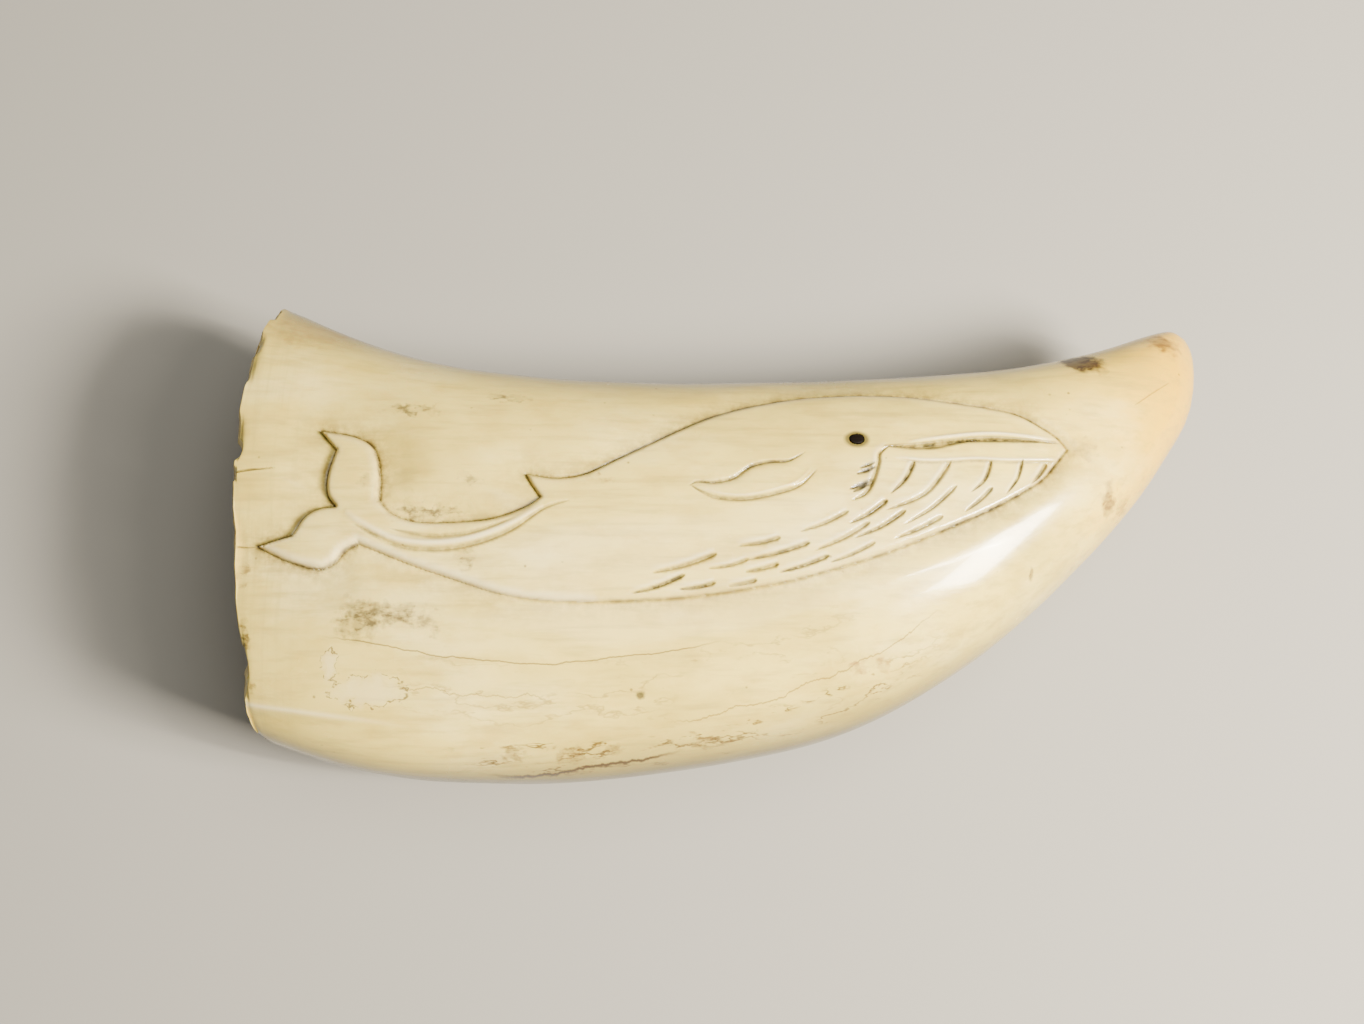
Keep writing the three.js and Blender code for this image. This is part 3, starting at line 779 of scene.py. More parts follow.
    def _cut(self, stroke: Stroke, places: Array, face: Relief) -> None:
        """Cuts one stroke as a groove with its pigment, and a burr on its right side with a painted
        highlight.
        """
        near, found, _ = search(stroke.points, places, stroke.width * stroke.margin)
        full = np.maximum(stroke.fullness(found.share), stroke.least)
        out = found.distance / (stroke.width / 2 * full)
        face.rise[near] -= stroke.depth * full * np.clip(1 - out, 0, 1) ** stroke.groove_power
        if stroke.burr:
            beside = found.side + stroke.width * stroke.burr_at
            crest = bell(beside, stroke.width * stroke.burr_width) * full
            face.rise[near] += stroke.burr * crest
            face.brighten(near, crest * stroke.burr_highlight)
        spread = np.clip(stroke.pigment_full - stroke.pigment_fall * out, 0, 1)
        face.darken(near, stroke.pigment * spread * np.minimum(full * stroke.pigment_hold, 1))

    def _raise(self, bead: Bead, places: Array, face: Relief) -> None:
        """Raises one bead, with its crest painted bright: rubbed wear and a painted highlight."""
        near, found, _ = search(bead.points, places, bead.width)
        full = np.sqrt(np.maximum(np.sin(np.pi * found.share), 0))
        round_top = np.clip(1 - (found.distance / (bead.width / 2)) ** 2, 0, 1)
        crest = round_top**bead.crest_power * full
        face.rise[near] += bead.height * crest
        face.brighten(near, crest * bead.painted_highlight)

    def _seat_eye(self, places: Array, face: Relief) -> None:
        """Sinks the eye's oval seat, with pigment packed round the peg."""
        off = places - self.eye_at
        out = np.hypot(*(off / (np.array(self.eye_half) + self.seat_gap)).T)
        face.rise[:] -= self.seat_depth * (1 - smoothstep(out, *self.seat_wall))
        face.darken(slice(None), 1 - smoothstep(out, *self.seat_ring))


# Colour and nodes

MIX_SHARE, MIX_FIRST, MIX_SECOND, MIX_COLOUR = 0, 6, 7, 2  # the sockets of a Mix node for colours
SMOOTH = {"interpolation_type": "SMOOTHSTEP"}


def shade(hex_colour: str) -> tuple[float, float, float, float]:
    """An sRGB hex colour as the linear one that a shader takes."""
    parts = (int(hex_colour[i : i + 2], 16) / 255 for i in (1, 3, 5))
    linear = (p / 12.92 if p <= 0.04045 else ((p + 0.055) / 1.055) ** 2.4 for p in parts)
    return (*linear, 1.0)


@dataclass(frozen=True)
class Pattern:
    """A noise that a finish is worked out from.

    Args:
        per_mm: How many of its features there are to a millimetre.
        detail: How many finer layers it has.
        roughness: How strong those are.
        stretch: The shares of the place that it reads: it is drawn out where one is under 1.
        shift: How far it is moved.
    """

    per_mm: float
    detail: float
    roughness: float = 0.5
    stretch: Place = (1, 1, 1)
    shift: Place = (0, 0, 0)


@dataclass(frozen=True)
class Tint:
    """A colour laid on where a pattern's values are within a span, as strongly as it says."""

    pattern: Pattern
    span: Span
    strength: float
    colour: str


class Finish:
    """A material being made: its nodes, and the place in millimetres that its patterns read."""

    def __init__(self, name: str) -> None:
        """Starts the material."""
        self.material = bpy.data.materials.new(name)
        self.material.use_nodes = True
        self.tree = self.material.node_tree
        self.surface = self.tree.nodes["Principled BSDF"]
        coords = self.add("TexCoord", (), "Object")
        self.place = self.add("VectorMath", (coords, (1 / MM,) * 3), operation="MULTIPLY")
        self.along = self.add("SeparateXYZ", (self.place,))
        self.height = self.along.node.outputs["Z"]

    def add(self, kind: str, inputs: tuple | dict, out: int | str = 0, **settings: str) -> Socket:
        """Adds a node with its settings and links.

        Args:
            kind: The node's type, after the words that every shader node's type starts with.
            inputs: Values, or outputs to link, for its inputs in order or by name; None keeps one.
            out: Which of its outputs is wanted.
            settings: The node's own settings.

        Returns:
            That output.
        """
        node = self.tree.nodes.new("ShaderNode" + kind)
        for name, value in settings.items():
            setattr(node, name, value)
        for key, value in inputs.items() if isinstance(inputs, dict) else enumerate(inputs):
            if isinstance(value, Socket):
                self.tree.links.new(value, node.inputs[key])
            elif value is not None:
                node.inputs[key].default_value = value
        return node.outputs[out]

    def draw(self, pattern: Pattern, out: int | str = 0) -> Socket:
        """Draws a pattern over the piece, and gives its value or its colour."""
        inputs = (self.place, pattern.stretch, pattern.shift)
        place = self.add("VectorMath", inputs, operation="MULTIPLY_ADD")
        grain = (pattern.per_mm, pattern.detail, pattern.roughness)
        return self.add("TexNoise", (place, None, *grain), out)

    def layer(self, tint: Tint, drawn: Socket | None = None) -> tuple[Socket, str]:
        """A layer of colour that lies where its pattern, drawn here unless it is given, lets it."""
        drawn = drawn or self.draw(tint.pattern)
        return self.add("MapRange", (drawn, *tint.span, 0, tint.strength)), tint.colour

    def paint(self, first: Socket | tuple, layers: Layers) -> Socket:
        """Lays layers of colour over a first one."""
        colour = first
        for mask, tint in layers:
            inputs = {MIX_SHARE: mask, MIX_FIRST: colour, MIX_SECOND: shade(tint)}
            colour = self.add("Mix", inputs, MIX_COLOUR, data_type="RGBA")
        return colour

    def away(self, value: Socket, middle: float) -> Socket:
        """How far a value is from a middle one."""
        off = self.add("Math", (value, middle), operation="SUBTRACT")
        return self.add("Math", (off,), operation="ABSOLUTE")

    def product(self, *masks: Socket | float) -> Socket:
        """Several masks as one, let through only where all of them are."""
        whole = masks[0]
        for mask in masks[1:]:
            whole = self.add("Math", (whole, mask), operation="MULTIPLY")
        return whole

    def cover(self, colour: Socket, height: Socket, relief: Span, **plain: float) -> None:
        """Finishes the surface.

        Args:
            colour: Its colour.
            height: Its fine relief.
            relief: That relief's strength, and its depth in millimetres.
            plain: The shader's own numbers that are the same all over.
        """
        named = {"Strength": relief[0], "Distance": relief[1] * MM, "Height": height}
        self.tree.links.new(self.add("Bump", named), self.surface.inputs["Normal"])
        self.tree.links.new(colour, self.surface.inputs["Base Color"])
        for name, value in plain.items():
            self.surface.inputs[name.replace("_", " ")].default_value = value


@dataclass(frozen=True)
class Stain:
    """A stained patch.

    Args:
        at: The place of its middle.
        half: Its half sizes.
        colour: Its colour.
        strength: How strong it is.
        ragged: How far its edge wanders, in half millimetres.
        solid: How whole it is: 0 is a scatter of specks.
        fade: How wide its edge is, as a share of its half size.
    """

    at: Place
    half: Place
    colour: str
    strength: float = 0.8
    ragged: float = 1.0
    solid: float = 0.5
    fade: float = 0.7


STAINS = (
    Stain((55.4, 25.9, 26.5), (2.7, 2.2, 5.0), "#3a2408", 1.0, 0.6, 0.9, 0.4),
    Stain((57.8, 24.8, 27.0), (1.6, 1.6, 4.0), "#54380f", 0.8, 0.9),
    Stain((68.6, 30.0, 25.5), (2.6, 1.6, 4.0), "#6a4312", 0.85, 0.9, 0.7),
    Stain((71.0, 28.9, 25.0), (1.2, 1.0, 3.0), "#866127", 0.6, 0.9),
    Stain((57.6, 4.0, 30.3), (1.2, 2.8, 3.5), "#6a4916", 0.85, 0.8, 0.7),
    Stain((60.4, 3.4, 27.0), (1.5, 2.2, 3.5), "#70501d", 0.6, 0.9),
    Stain((53.6, 11.0, 34.0), (2.0, 1.4, 3.0), "#927739", 0.5, 1.2),
    Stain((45.2, -7.4, 32.0), (0.4, 1.0, 2.0), "#58401b", 0.8, 0.2),
    Stain((-50.6, -15.0, 39.0), (3.0, 2.6, 4.0), "#504120", 0.9, 1.4, 0.5),
    Stain((-45.4, -14.4, 39.0), (3.8, 1.4, 4.0), "#554624", 0.9, 1.3, 0.45),
    Stain((-41.0, -15.6, 39.6), (1.8, 1.4, 3.0), "#5e5030", 0.6, 1.3, 0.2),
    Stain((-67.2, -17.4, 37.5), (0.8, 3.2, 4.0), "#614b1b", 0.85, 1.0, 0.3),
    Stain((-68.0, -8.0, 37.5), (0.9, 1.9, 4.0), "#6a5320", 0.7, 1.0, 0.3),
    Stain((-66.0, -24.4, 36.0), (0.9, 1.4, 3.0), "#6a5320", 0.6, 1.0, 0.2),
    Stain((-45.2, 16.4, 37.4), (3.8, 0.9, 4.0), "#5a4d2b", 0.8, 1.2, 0.25),
    Stain((-31.4, 18.9, 34.8), (3.2, 0.7, 4.0), "#5a4d2b", 0.75, 1.2, 0.25),
    Stain((-36.0, 5.2, 39.0), (1.6, 0.8, 3.0), "#605331", 0.6, 1.0, 0.2),
    Stain((-51.0, 5.0, 40.0), (0.8, 1.2, 2.0), "#594c2b", 0.7, 0.6, 0.3),
    Stain((-36.0, -6.8, 40.0), (1.2, 1.6, 2.5), "#5c4c26", 0.75, 0.9, 0.2),
    Stain((-11.5, -25.4, 36.2), (0.6, 0.6, 2.0), "#2c2612", 0.95, 0.2, 0.8),
    Stain((-62.5, 30.5, 29.0), (8.0, 3.0, 8.0), "#917035", 0.5, 1.5),
    Stain((-42.0, 0.4, 38.5), (5.6, 0.9, 3.0), "#504222", 0.8, 1.2, 0.3),
    Stain((-16.6, 4.9, 40.3), (2.4, 0.6, 2.0), "#876830", 0.7, 0.9, 0.2),
    Stain((-63.5, -3.0, 39.5), (1.3, 0.9, 2.0), "#594015", 0.8, 0.8, 0.4),
    Stain((-29.4, -33.3, 32.1), (2.2, 0.9, 3.0), "#6d501c", 0.75, 1.2, 0.4),
    Stain((-21.6, -33.2, 31.1), (2.0, 0.9, 3.0), "#644716", 0.8, 1.2, 0.4),
    Stain((-15.6, -32.6, 31.2), (1.2, 0.8, 3.0), "#644716", 0.7, 1.0, 0.4),
    Stain((-2.3, -31.4, 30.2), (2.2, 0.9, 3.0), "#644716", 0.8, 1.2, 0.3),
    Stain((19.4, -21.1, 34.5), (1.1, 1.2, 3.0), "#8c6226", 0.6, 0.9, 0.4),
    Stain((22.9, -20.9, 33.6), (0.9, 0.9, 3.0), "#8c6226", 0.6, 0.8, 0.4),
    Stain((19.7, 11.6, 38.5), (1.8, 1.35, 3.0), "#72642e", 1.0, 0.05, 1.0, 0.3),
)
PALE_PATCHES = (
    Stain((-49.4, -25.0, 37.5), (5.2, 2.0, 5.0), "#eddca4", 0.35, 0.9, 1.0),
    Stain((-54.8, -21.4, 38.0), (1.0, 2.3, 4.0), "#f0e0aa", 0.35, 0.5, 1.0),
)


@dataclass(frozen=True)
class WanderingLine:
    """A fine line beside the line of the worn veins.

    Args:
        offset: How far above that line it starts.
        slope: How fast it climbs from there, along the tooth.
        start: Where it starts along the tooth.
        end: Where it ends.
        wiggle: How far it wanders.
        width: Its half width.
        colour: Its colour.
        strength: How strong it is.
    """

    offset: float
    slope: float
    start: float
    end: float
    wiggle: float
    width: float
    colour: str
    strength: float


WANDERING_LINES = (
    WanderingLine(-2.7, 0.07, -34.0, -5.0, 3.0, 0.26, "#442e0e", 0.95),
    WanderingLine(12.2, 0.01, -56.0, 0.0, 2.0, 0.14, "#66552a", 0.75),
    WanderingLine(3.0, 0.03, -8.0, 32.0, 5.0, 0.14, "#6b511d", 0.6),
    WanderingLine(7.5, 0.0, -48.0, -22.0, 6.0, 0.12, "#6b5626", 0.5),
)


@dataclass(frozen=True)
class VeinBand:
    """A band of worn veins beside their line.

    Args:
        middle: How far above that line its middle lies.
        half: Its half width.
        start: Where it starts along the tooth.
        end: Where it ends.
        strength: How strong it is.
        colour: Its colour.
    """

    middle: float
    half: float
    start: float
    end: float
    strength: float
    colour: str


VEIN_BANDS = (
    VeinBand(0.0, 2.8, -40.0, 34.0, 0.95, "#573e14"),
    VeinBand(8.0, 5.0, -50.0, 24.0, 0.45, "#715b2a"),
)
CLOUD_SPAN, CLOUD_STRETCH = (0.47, 0.68), (0.5, 1, 1)


@dataclass(frozen=True)
class Ivory:
    """Sperm whale ivory, carved, scraped and hand polished, then handled for a century.

    It gives the eye a warm cream with a soft gloss, painted shade in olive on the flanks, deep honey at
    the tip, faint lengthwise grain, wandering lines where the outer layer is worn through, brown stains,
    brown pigment and grime in every cut, partly painted shade and painted shadow lines, and worn edges
    with painted highlights. A span holds where something starts to show and where it shows in full:
    places and heights in millimetres, or a pattern's values.
    """

    tones: tuple[tuple[float, str], ...] = (
        (0.0, "#d9c060"), (0.07, "#dfc768"), (0.25, "#e7ce6c"), (0.55, "#edd36e"), (0.8, "#f3d86e"),
        (0.9, "#f6cf4e"), (0.97, "#f0c024"), (1.0, "#e9b618"),
    )
    reach: float = 75.0  # the tones run from this far behind the middle to this far in front of it
    clouds: tuple[Tint, ...] = (
        Tint(Pattern(1 / 14, 5, 0.6, CLOUD_STRETCH), CLOUD_SPAN, 0.6, "#f4e298"),
        Tint(Pattern(1 / 14, 5, 0.6, CLOUD_STRETCH, (37,) * 3), CLOUD_SPAN, 0.6, "#c6ae4c"),
        Tint(Pattern(1 / 3.5, 5, 0.6, CLOUD_STRETCH, (71,) * 3), CLOUD_SPAN, 0.45, "#cbad4c"),
    )
    honey: str = "#e8b210"
    honey_strength: float = 0.85
    honey_span: Span = (56, 75)
    grain: Tint = Tint(Pattern(1 / 1.4, 4, 0.6, (0.1, 1, 1)), (0.5, 0.75), 0.45, "#a5904a")
    rings: Tint = Tint(Pattern(1 / 1.1, 3, 0.7, (1, 0.06, 0.06)), (0.48, 0.7), 0.55, "#b7a258")
    ring_span: Span = (-57, -70)
    # painted shade: the flanks are darkened and turned olive in colour, standing in for the shade on
    # them
    flank_shade: str = "#53491f"
    flank_shade_strength: float = 0.96
    flank_shade_span: Span = (36, 21)
    under_span: Span = (0, 14)
    under_share: float = 0.65
    from_tip_span: Span = (72, 15)
    tip_share: float = 0.1
    vein_folds: Pattern = Pattern(1 / 7, 5, 0.62, (0.4, 1, 1))
    vein_patches: Pattern = Pattern(0.35, 2, 0.5, (0.4, 1, 1))
    patch_span: Span = (0.42, 0.56)
    vein_count: float = 6.5  # how many veins the folds lay side by side
    vein_follow: float = 0.3  # how closely they keep to their line
    vein_gap: float = 0.5
    vein_width: float = 0.12
    band_edge: float = 0.6
    band_starts_over: float = 8
    band_ends_over: float = 12
    line_wander: Pattern = Pattern(0.22, 6, 0.6, (0.6, 0.12, 0.12))
    line_shift: float = 11
    line_ends_over: float = 5
    line_core: float = 0.3
    warp: Pattern = Pattern(0.7, 4)
    warp_reach: float = 5
    mottle: Pattern = Pattern(1.1, 4, 0.62, (0.5, 1, 1))
    speck_span: Span = (0.44, 0.6)
    stain_edge: float = 1.25  # in half sizes of a stain, and so are the pale patches' outlines
    outline_at: float = 1.04
    outline_span: Span = (0.08, 0.02)
    outline_strength: float = 0.8
    outline_breaks: Span = (0.46, 0.52)
    outline: str = "#5f4f26"
    pore_gap: float = 2.8
    pore_span: Span = (0.1, 0.05)
    pore_strength: float = 0.6
    pore_places: Tint = Tint(Pattern(0.3, 3), (0.54, 0.62), 1, "#52431e")
    crumbs: Pattern = Pattern(0.6, 5, 0.7)
    # the grime mask's colour, partly painted shade in the corners round the whale; its crumbs share is
    # of both
    soil_and_shade: str = "#5c4618"
    soil_and_shade_strength: float = 0.9
    soil_and_shade_crumbs: tuple[float, ...] = (0.36, 0.6, 0.2, 1)  # a span, and the share of grime at its ends
    # worn edges, with painted highlights on lit walls, crests and burrs
    rubbed_and_highlight: str = "#fdf1c8"
    rub_and_highlight_strength: float = 0.5
    # the pigment's colour, also laid as painted shadow lines by the lip, the mouth and the whale's wall
    fill_and_shade: str = "#140c04"
    fill_and_shade_strength: float = 0.95
    fill_and_shade_crumbs: tuple[float, ...] = (0.38, 0.58, 0.55, 1)  # the same for the pigment
    smears: Pattern = Pattern(0.12, 4)
    smear_span: Span = (0.3, 0.7)
    roughness: Span = (0.15, 0.29)
    worn_roughness: float = 0.35
    scrapes: Pattern = Pattern(2.2, 5, 0.65, (0.12, 1, 1))
    skin: Pattern = Pattern(0.5, 4)
    skin_height: float = 0.9
    worn_height: float = -0.5
    relief: Span = (0.3, 0.06)

    def material(self) -> bpy.types.Material:
        """Builds the finish."""
        finish = Finish("polished_whale_ivory")
        stains, stained = self._stains(finish)
        dirt_shade_and_highlight, pigment = self._dirt_shade_and_highlight(finish)
        clouds = [finish.layer(cloud) for cloud in self.clouds]
        layers = [
            *clouds, self._honey(finish), finish.layer(self.grain), self._rings(finish),
            self._flank_shade(finish), *self._veins(finish), *self._lines(finish), *stains,
            self._pores(finish), *dirt_shade_and_highlight,
        ]
        worn = finish.add("Math", (stained, pigment), operation="MAXIMUM")
        self._cover(finish, finish.paint(self._body_tone(finish), layers), worn)
        return finish.material

    def _body_tone(self, finish: Finish) -> Socket:
        """The ivory's own colour along the tooth, from the root to the tip."""
        share = finish.add("MapRange", (finish.along, -self.reach, self.reach))
        colour = finish.add("ValToRGB", (share,))
        ramp = colour.node.color_ramp
        for element, (position, tone) in zip(ramp.elements, (self.tones[0], self.tones[-1])):
            element.position, element.color = position, shade(tone)
        for position, tone in self.tones[1:-1]:
            ramp.elements.new(position).color = shade(tone)
        return colour

    def _honey(self, finish: Finish) -> tuple[Socket, str]:
        """The honey colour that age gives the tip."""
        inputs = (finish.along, *self.honey_span, 0, self.honey_strength)
        return finish.add("MapRange", inputs, **SMOOTH), self.honey

    def _rings(self, finish: Finish) -> tuple[Socket, str]:
        """Growth rings across the root, close together behind the rim."""
        rings, colour = finish.layer(self.rings)
        at_root = finish.add("MapRange", (finish.along, *self.ring_span))
        return finish.product(rings, at_root), colour

    def _flank_shade(self, finish: Finish) -> tuple[Socket, str]:
        """Painted shade on the flanks: darker and more olive than the face; the underside and the tip
        less so.
        """
        inputs = (
            (finish.height, *self.flank_shade_span, 0, self.flank_shade_strength),
            (finish.height, *self.under_span, self.under_share, 1),
            (finish.along, *self.from_tip_span, self.tip_share, 1),
        )
        return finish.product(*(finish.add("MapRange", row, **SMOOTH) for row in inputs)), self.flank_shade

    def _veins(self, finish: Finish) -> Layers:
        """Contour lines low on the face, where thin outer layers are worn through."""
        offset = finish.add("Attribute", (), "Fac", attribute_name="vein_offset")
        folds, patches = finish.draw(self.vein_folds), finish.draw(self.vein_patches)
        across = finish.add("Math", (offset, self.vein_follow), operation="MULTIPLY")
        field = finish.add("Math", (folds, self.vein_count, across), operation="MULTIPLY_ADD")
        fold = finish.add("Math", (field, self.vein_gap), operation="PINGPONG")
        line = finish.add("MapRange", (fold, self.vein_width, 0.0))
        layers = []
        for band in VEIN_BANDS:
            far = finish.away(offset, band.middle)
            spans = (
                (far, band.half, band.half * self.band_edge),
                (finish.along, band.start, band.start + self.band_starts_over),
                (finish.along, band.end, band.end - self.band_ends_over),
                (patches, *self.patch_span, 0, band.strength),
            )
            masks = (finish.add("MapRange", span) for span in spans)
            layers.append((finish.product(line, *masks), band.colour))
        return layers

    def _lines(self, finish: Finish) -> Layers:
        """Single fine lines that wander beside the veins."""
        offset = finish.add("Attribute", (), "Fac", attribute_name="vein_offset")
        layers = []
        for line in WANDERING_LINES:
            shift = (line.offset * self.line_shift, 0, 0)
            wander = finish.draw(replace(self.line_wander, shift=shift))
            climbed = finish.add("Math", (finish.along, -line.slope, offset), operation="MULTIPLY_ADD")
            bent = finish.add("Math", (wander, line.wiggle, climbed), operation="MULTIPLY_ADD")
            start = line.offset - line.slope * line.start + line.wiggle / 2
            far = finish.away(bent, start)
            spans = (
                (far, line.width, line.width * self.line_core, 0, line.strength),
                (finish.along, line.start, line.start + self.line_ends_over),
                (finish.along, line.end, line.end - self.line_ends_over),
            )
            masks = (finish.add("MapRange", span) for span in spans)
            layers.append((finish.product(*masks), line.colour))
        return layers

    def _stains(self, finish: Finish) -> tuple[Layers, Socket]:
        """Stains and pale patches with ragged edges, and one mask for all the stains."""
        warp = finish.draw(self.warp, "Color")
        centred = finish.add("VectorMath", (warp, (0.5,) * 3), operation="SUBTRACT")
        mottle = finish.draw(self.mottle)
        layers, stained = [], 0.0
        for stain in (*PALE_PATCHES, *STAINS):
            wander = (self.warp_reach * stain.ragged,) * 3
            bent = finish.add("VectorMath", (centred, wander, finish.place), operation="MULTIPLY_ADD")
            off = finish.add("VectorMath", (bent, stain.at), operation="SUBTRACT")
            scaled = finish.add("VectorMath", (off, stain.half), operation="DIVIDE")
            far = finish.add("VectorMath", (scaled,), "Value", operation="LENGTH")
            edge = self.stain_edge
            shape = finish.add("MapRange", (far, edge, edge - stain.fade, 0, stain.strength))
            specks = finish.add("MapRange", (mottle, *self.speck_span, stain.solid, 1))
            mask = finish.product(shape, specks)
            layers.append((mask, stain.colour))
            if stain in STAINS:
                stained = finish.add("Math", (stained, mask), operation="MAXIMUM")
            else:
                layers.append(self._outline(finish, far, mottle))
        return layers, stained

    def _outline(self, finish: Finish, far: Socket, mottle: Socket) -> tuple[Socket, str]:
        """The thin broken outline of a pale patch.

        Args:
            finish: The material being made.
            far: How far out from the patch's middle each place is, in its half sizes.
            mottle: The pattern that breaks the outline.

        Returns:
            The outline's layer.
        """
        off = finish.away(far, self.outline_at)
        ring = finish.add("MapRange", (off, *self.outline_span, 0, self.outline_strength))
        broken = finish.add("MapRange", (mottle, *self.outline_breaks))
        return finish.product(ring, broken), self.outline

    def _pores(self, finish: Finish) -> tuple[Socket, str]:
        """Open pores, drawn coarser than the real ones so that they show, and only here and there."""
        pores = finish.add("TexVoronoi", (finish.place, None, 1 / self.pore_gap), "Distance")
        dots = finish.add("MapRange", (pores, *self.pore_span, 0, self.pore_strength))
        places, colour = finish.layer(self.pore_places)
        return finish.product(places, dots), colour

    def _dirt_shade_and_highlight(self, finish: Finish) -> tuple[Layers, Socket]:
        """Grime and painted shade, worn edges and painted highlights, and pigment with painted shadow;
        its mask.
        """
        grime_and_shade, wear_and_highlight, pigment = (
            finish.add("Attribute", (), "Fac", attribute_name=name)
            for name in ("grime_and_shade", "wear_and_highlight", "pigment")
        )
        crumbs = finish.draw(self.crumbs)
        broken = finish.add("MapRange", (crumbs, *self.soil_and_shade_crumbs))
        packed = finish.add("MapRange", (crumbs, *self.fill_and_shade_crumbs))
        soiled_and_shaded = finish.product(grime_and_shade, broken, self.soil_and_shade_strength)
        filled_and_shaded = finish.product(pigment, packed, self.fill_and_shade_strength)
        rubbed_and_highlight = finish.product(wear_and_highlight, self.rub_and_highlight_strength)
        return [(soiled_and_shaded, self.soil_and_shade), (rubbed_and_highlight, self.rubbed_and_highlight), (filled_and_shaded, self.fill_and_shade)], filled_and_shaded

    def _cover(self, finish: Finish, colour: Socket, worn: Socket) -> None:
        """Sets the gloss, the light that passes into the ivory, and its fine unevenness."""
        smears, scrapes, skin = (finish.draw(p) for p in (self.smears, self.scrapes, self.skin))
        hazy = finish.add("MapRange", (smears, *self.smear_span, *self.roughness))
        rough = finish.add("Math", (worn, self.worn_roughness, hazy), operation="MULTIPLY_ADD")
        heights = finish.add("Math", (skin, self.skin_height, scrapes), operation="MULTIPLY_ADD")
        pitted = finish.add("Math", (worn, self.worn_height, heights), operation="MULTIPLY_ADD")
        finish.tree.links.new(rough, finish.surface.inputs["Roughness"])
        gloss = {"IOR": 1.54, "Specular_IOR_Level": 0.3, "Coat_Weight": 0.3, "Coat_Roughness": 0.08}
        depth = {"Subsurface_Weight": 0.1, "Subsurface_Scale": 0.6 * MM}
        finish.cover(colour, pitted, self.relief, **gloss, **depth)


@dataclass(frozen=True)
class BrokenDentine:
    """Dentine as it broke and weathered, on the rim and in the pulp cavity.

    It gives the eye a dull chalky wall with rings of growth, browner and darker the deeper it goes.
    """

    fresh: str = "#ead795"
    deep: str = "#86693a"
    deep_span: Span = (-73, -30)
    rings: Tint = Tint(Pattern(1 / 1.1, 5, 0.7, (1, 0.15, 0.15)), (0.42, 0.66), 0.8, "#a88f55")
    crumbs: Tint = Tint(Pattern(0.9, 6, 0.7), (0.5, 0.72), 0.7, "#7c6236")
    ring_height: float = 0.8
    relief: Span = (0.8, 0.4)

    def material(self) -> bpy.types.Material:
        """Builds the finish."""
        finish = Finish("weathered_broken_dentine")
        deep = (finish.add("MapRange", (finish.along, *self.deep_span)), self.deep)
        rings, crumbs = (finish.draw(tint.pattern) for tint in (self.rings, self.crumbs))
        layers = [deep, finish.layer(self.rings, rings), finish.layer(self.crumbs, crumbs)]
        height = finish.add("Math", (rings, self.ring_height, crumbs), operation="MULTIPLY_ADD")
        colour = finish.paint(shade(self.fresh), layers)
        finish.cover(colour, height, self.relief, Roughness=0.72, IOR=1.54)
        return finish.material


@dataclass(frozen=True)
class DarkHorn:
    """Dark horn, filed to a peg and rubbed smooth.

    It gives the eye a deep brown-black with a soft gloss and faint fibres.
    """

    body: str = "#080605"
    fibre: str = "#1d1610"
    fibres: Pattern = Pattern(1, 3, 0.5, (0.4, 4, 1))
    relief: Span = (0.3, 0.02)

    def material(self) -> bpy.types.Material:
        """Builds the finish."""
        finish = Finish("filed_dark_horn")
        fibres = finish.draw(self.fibres)
        colour = finish.paint(shade(self.body), [(fibres, self.fibre)])
        gloss = {"Roughness": 0.42, "IOR": 1.5, "Specular_IOR_Level": 0.08}
        finish.cover(colour, fibres, self.relief, **gloss)
        return finish.material


# The pieces


class Skin(Enum):
    """The parts of the tooth's skin, with the number of each one's material."""

    OUTER = 0
    BROKEN = 1


def read_all(items: bpy.types.bpy_prop_collection, name: str, kind: type, width: int = 1) -> Array:
    """Reads the same numbers from all of a mesh's items.

    Args:
        items: The points, faces or corners.
        name: What is read from each.
        kind: The kind of number that Blender holds.
        width: How many numbers there are to an item.

    Returns:
        The numbers: one row for each item if there are several.
    """
    found = np.empty(len(items) * width, kind)
    items.foreach_get(name, found)
    return found.reshape(-1, width).astype(float) if width > 1 else found


def turn_from(angle: Array, at: float | Array) -> Array:
    """The shorter turn to each angle from another, in radians."""
    return (angle - at + np.pi) % (2 * np.pi) - np.pi


@dataclass(frozen=True)
class RimChip:
    """A notch in the broken rim: the angle it is at, its depth and its half width."""

    angle: float
    deep: float
    wide: float


class RimFlakes:
    """Shallow flakes lost from the rim's outer edge, in seeded places and sizes."""

    def __init__(self, seed: int, count: int) -> None:
        """Draws the flakes' angles, half widths, lengths and depths, in millimetres."""
        draw = np.random.default_rng(seed)
        self.angles = draw.uniform(0, 2 * np.pi, count)
        self.wide = draw.uniform(0.8, 4.0, count)
        self.long = self.wide * draw.uniform(0.35, 0.8, count)
        self.deep = draw.uniform(0.2, 0.7, count)

    def scoop(self, angle: Array, behind: Array, half_round: float) -> Array:
        """How deep the flakes go at each point.

        Args:
            angle: The angle round the rim.
            behind: How far behind the rim it is.
            half_round: Half the way round the rim.

        Returns:
            The depth into the wall.
        """
        deepest = np.zeros(len(angle))
        for at, wide, long, deep in zip(self.angles, self.wide, self.long, self.deep):
            away = turn_from(angle, at) / np.pi * half_round / wide
            around = np.clip(1 - away**2, 0, 1)
            deepest = np.maximum(deepest, deep * around * np.clip(1 - behind / long, 0, 1))
        return deepest


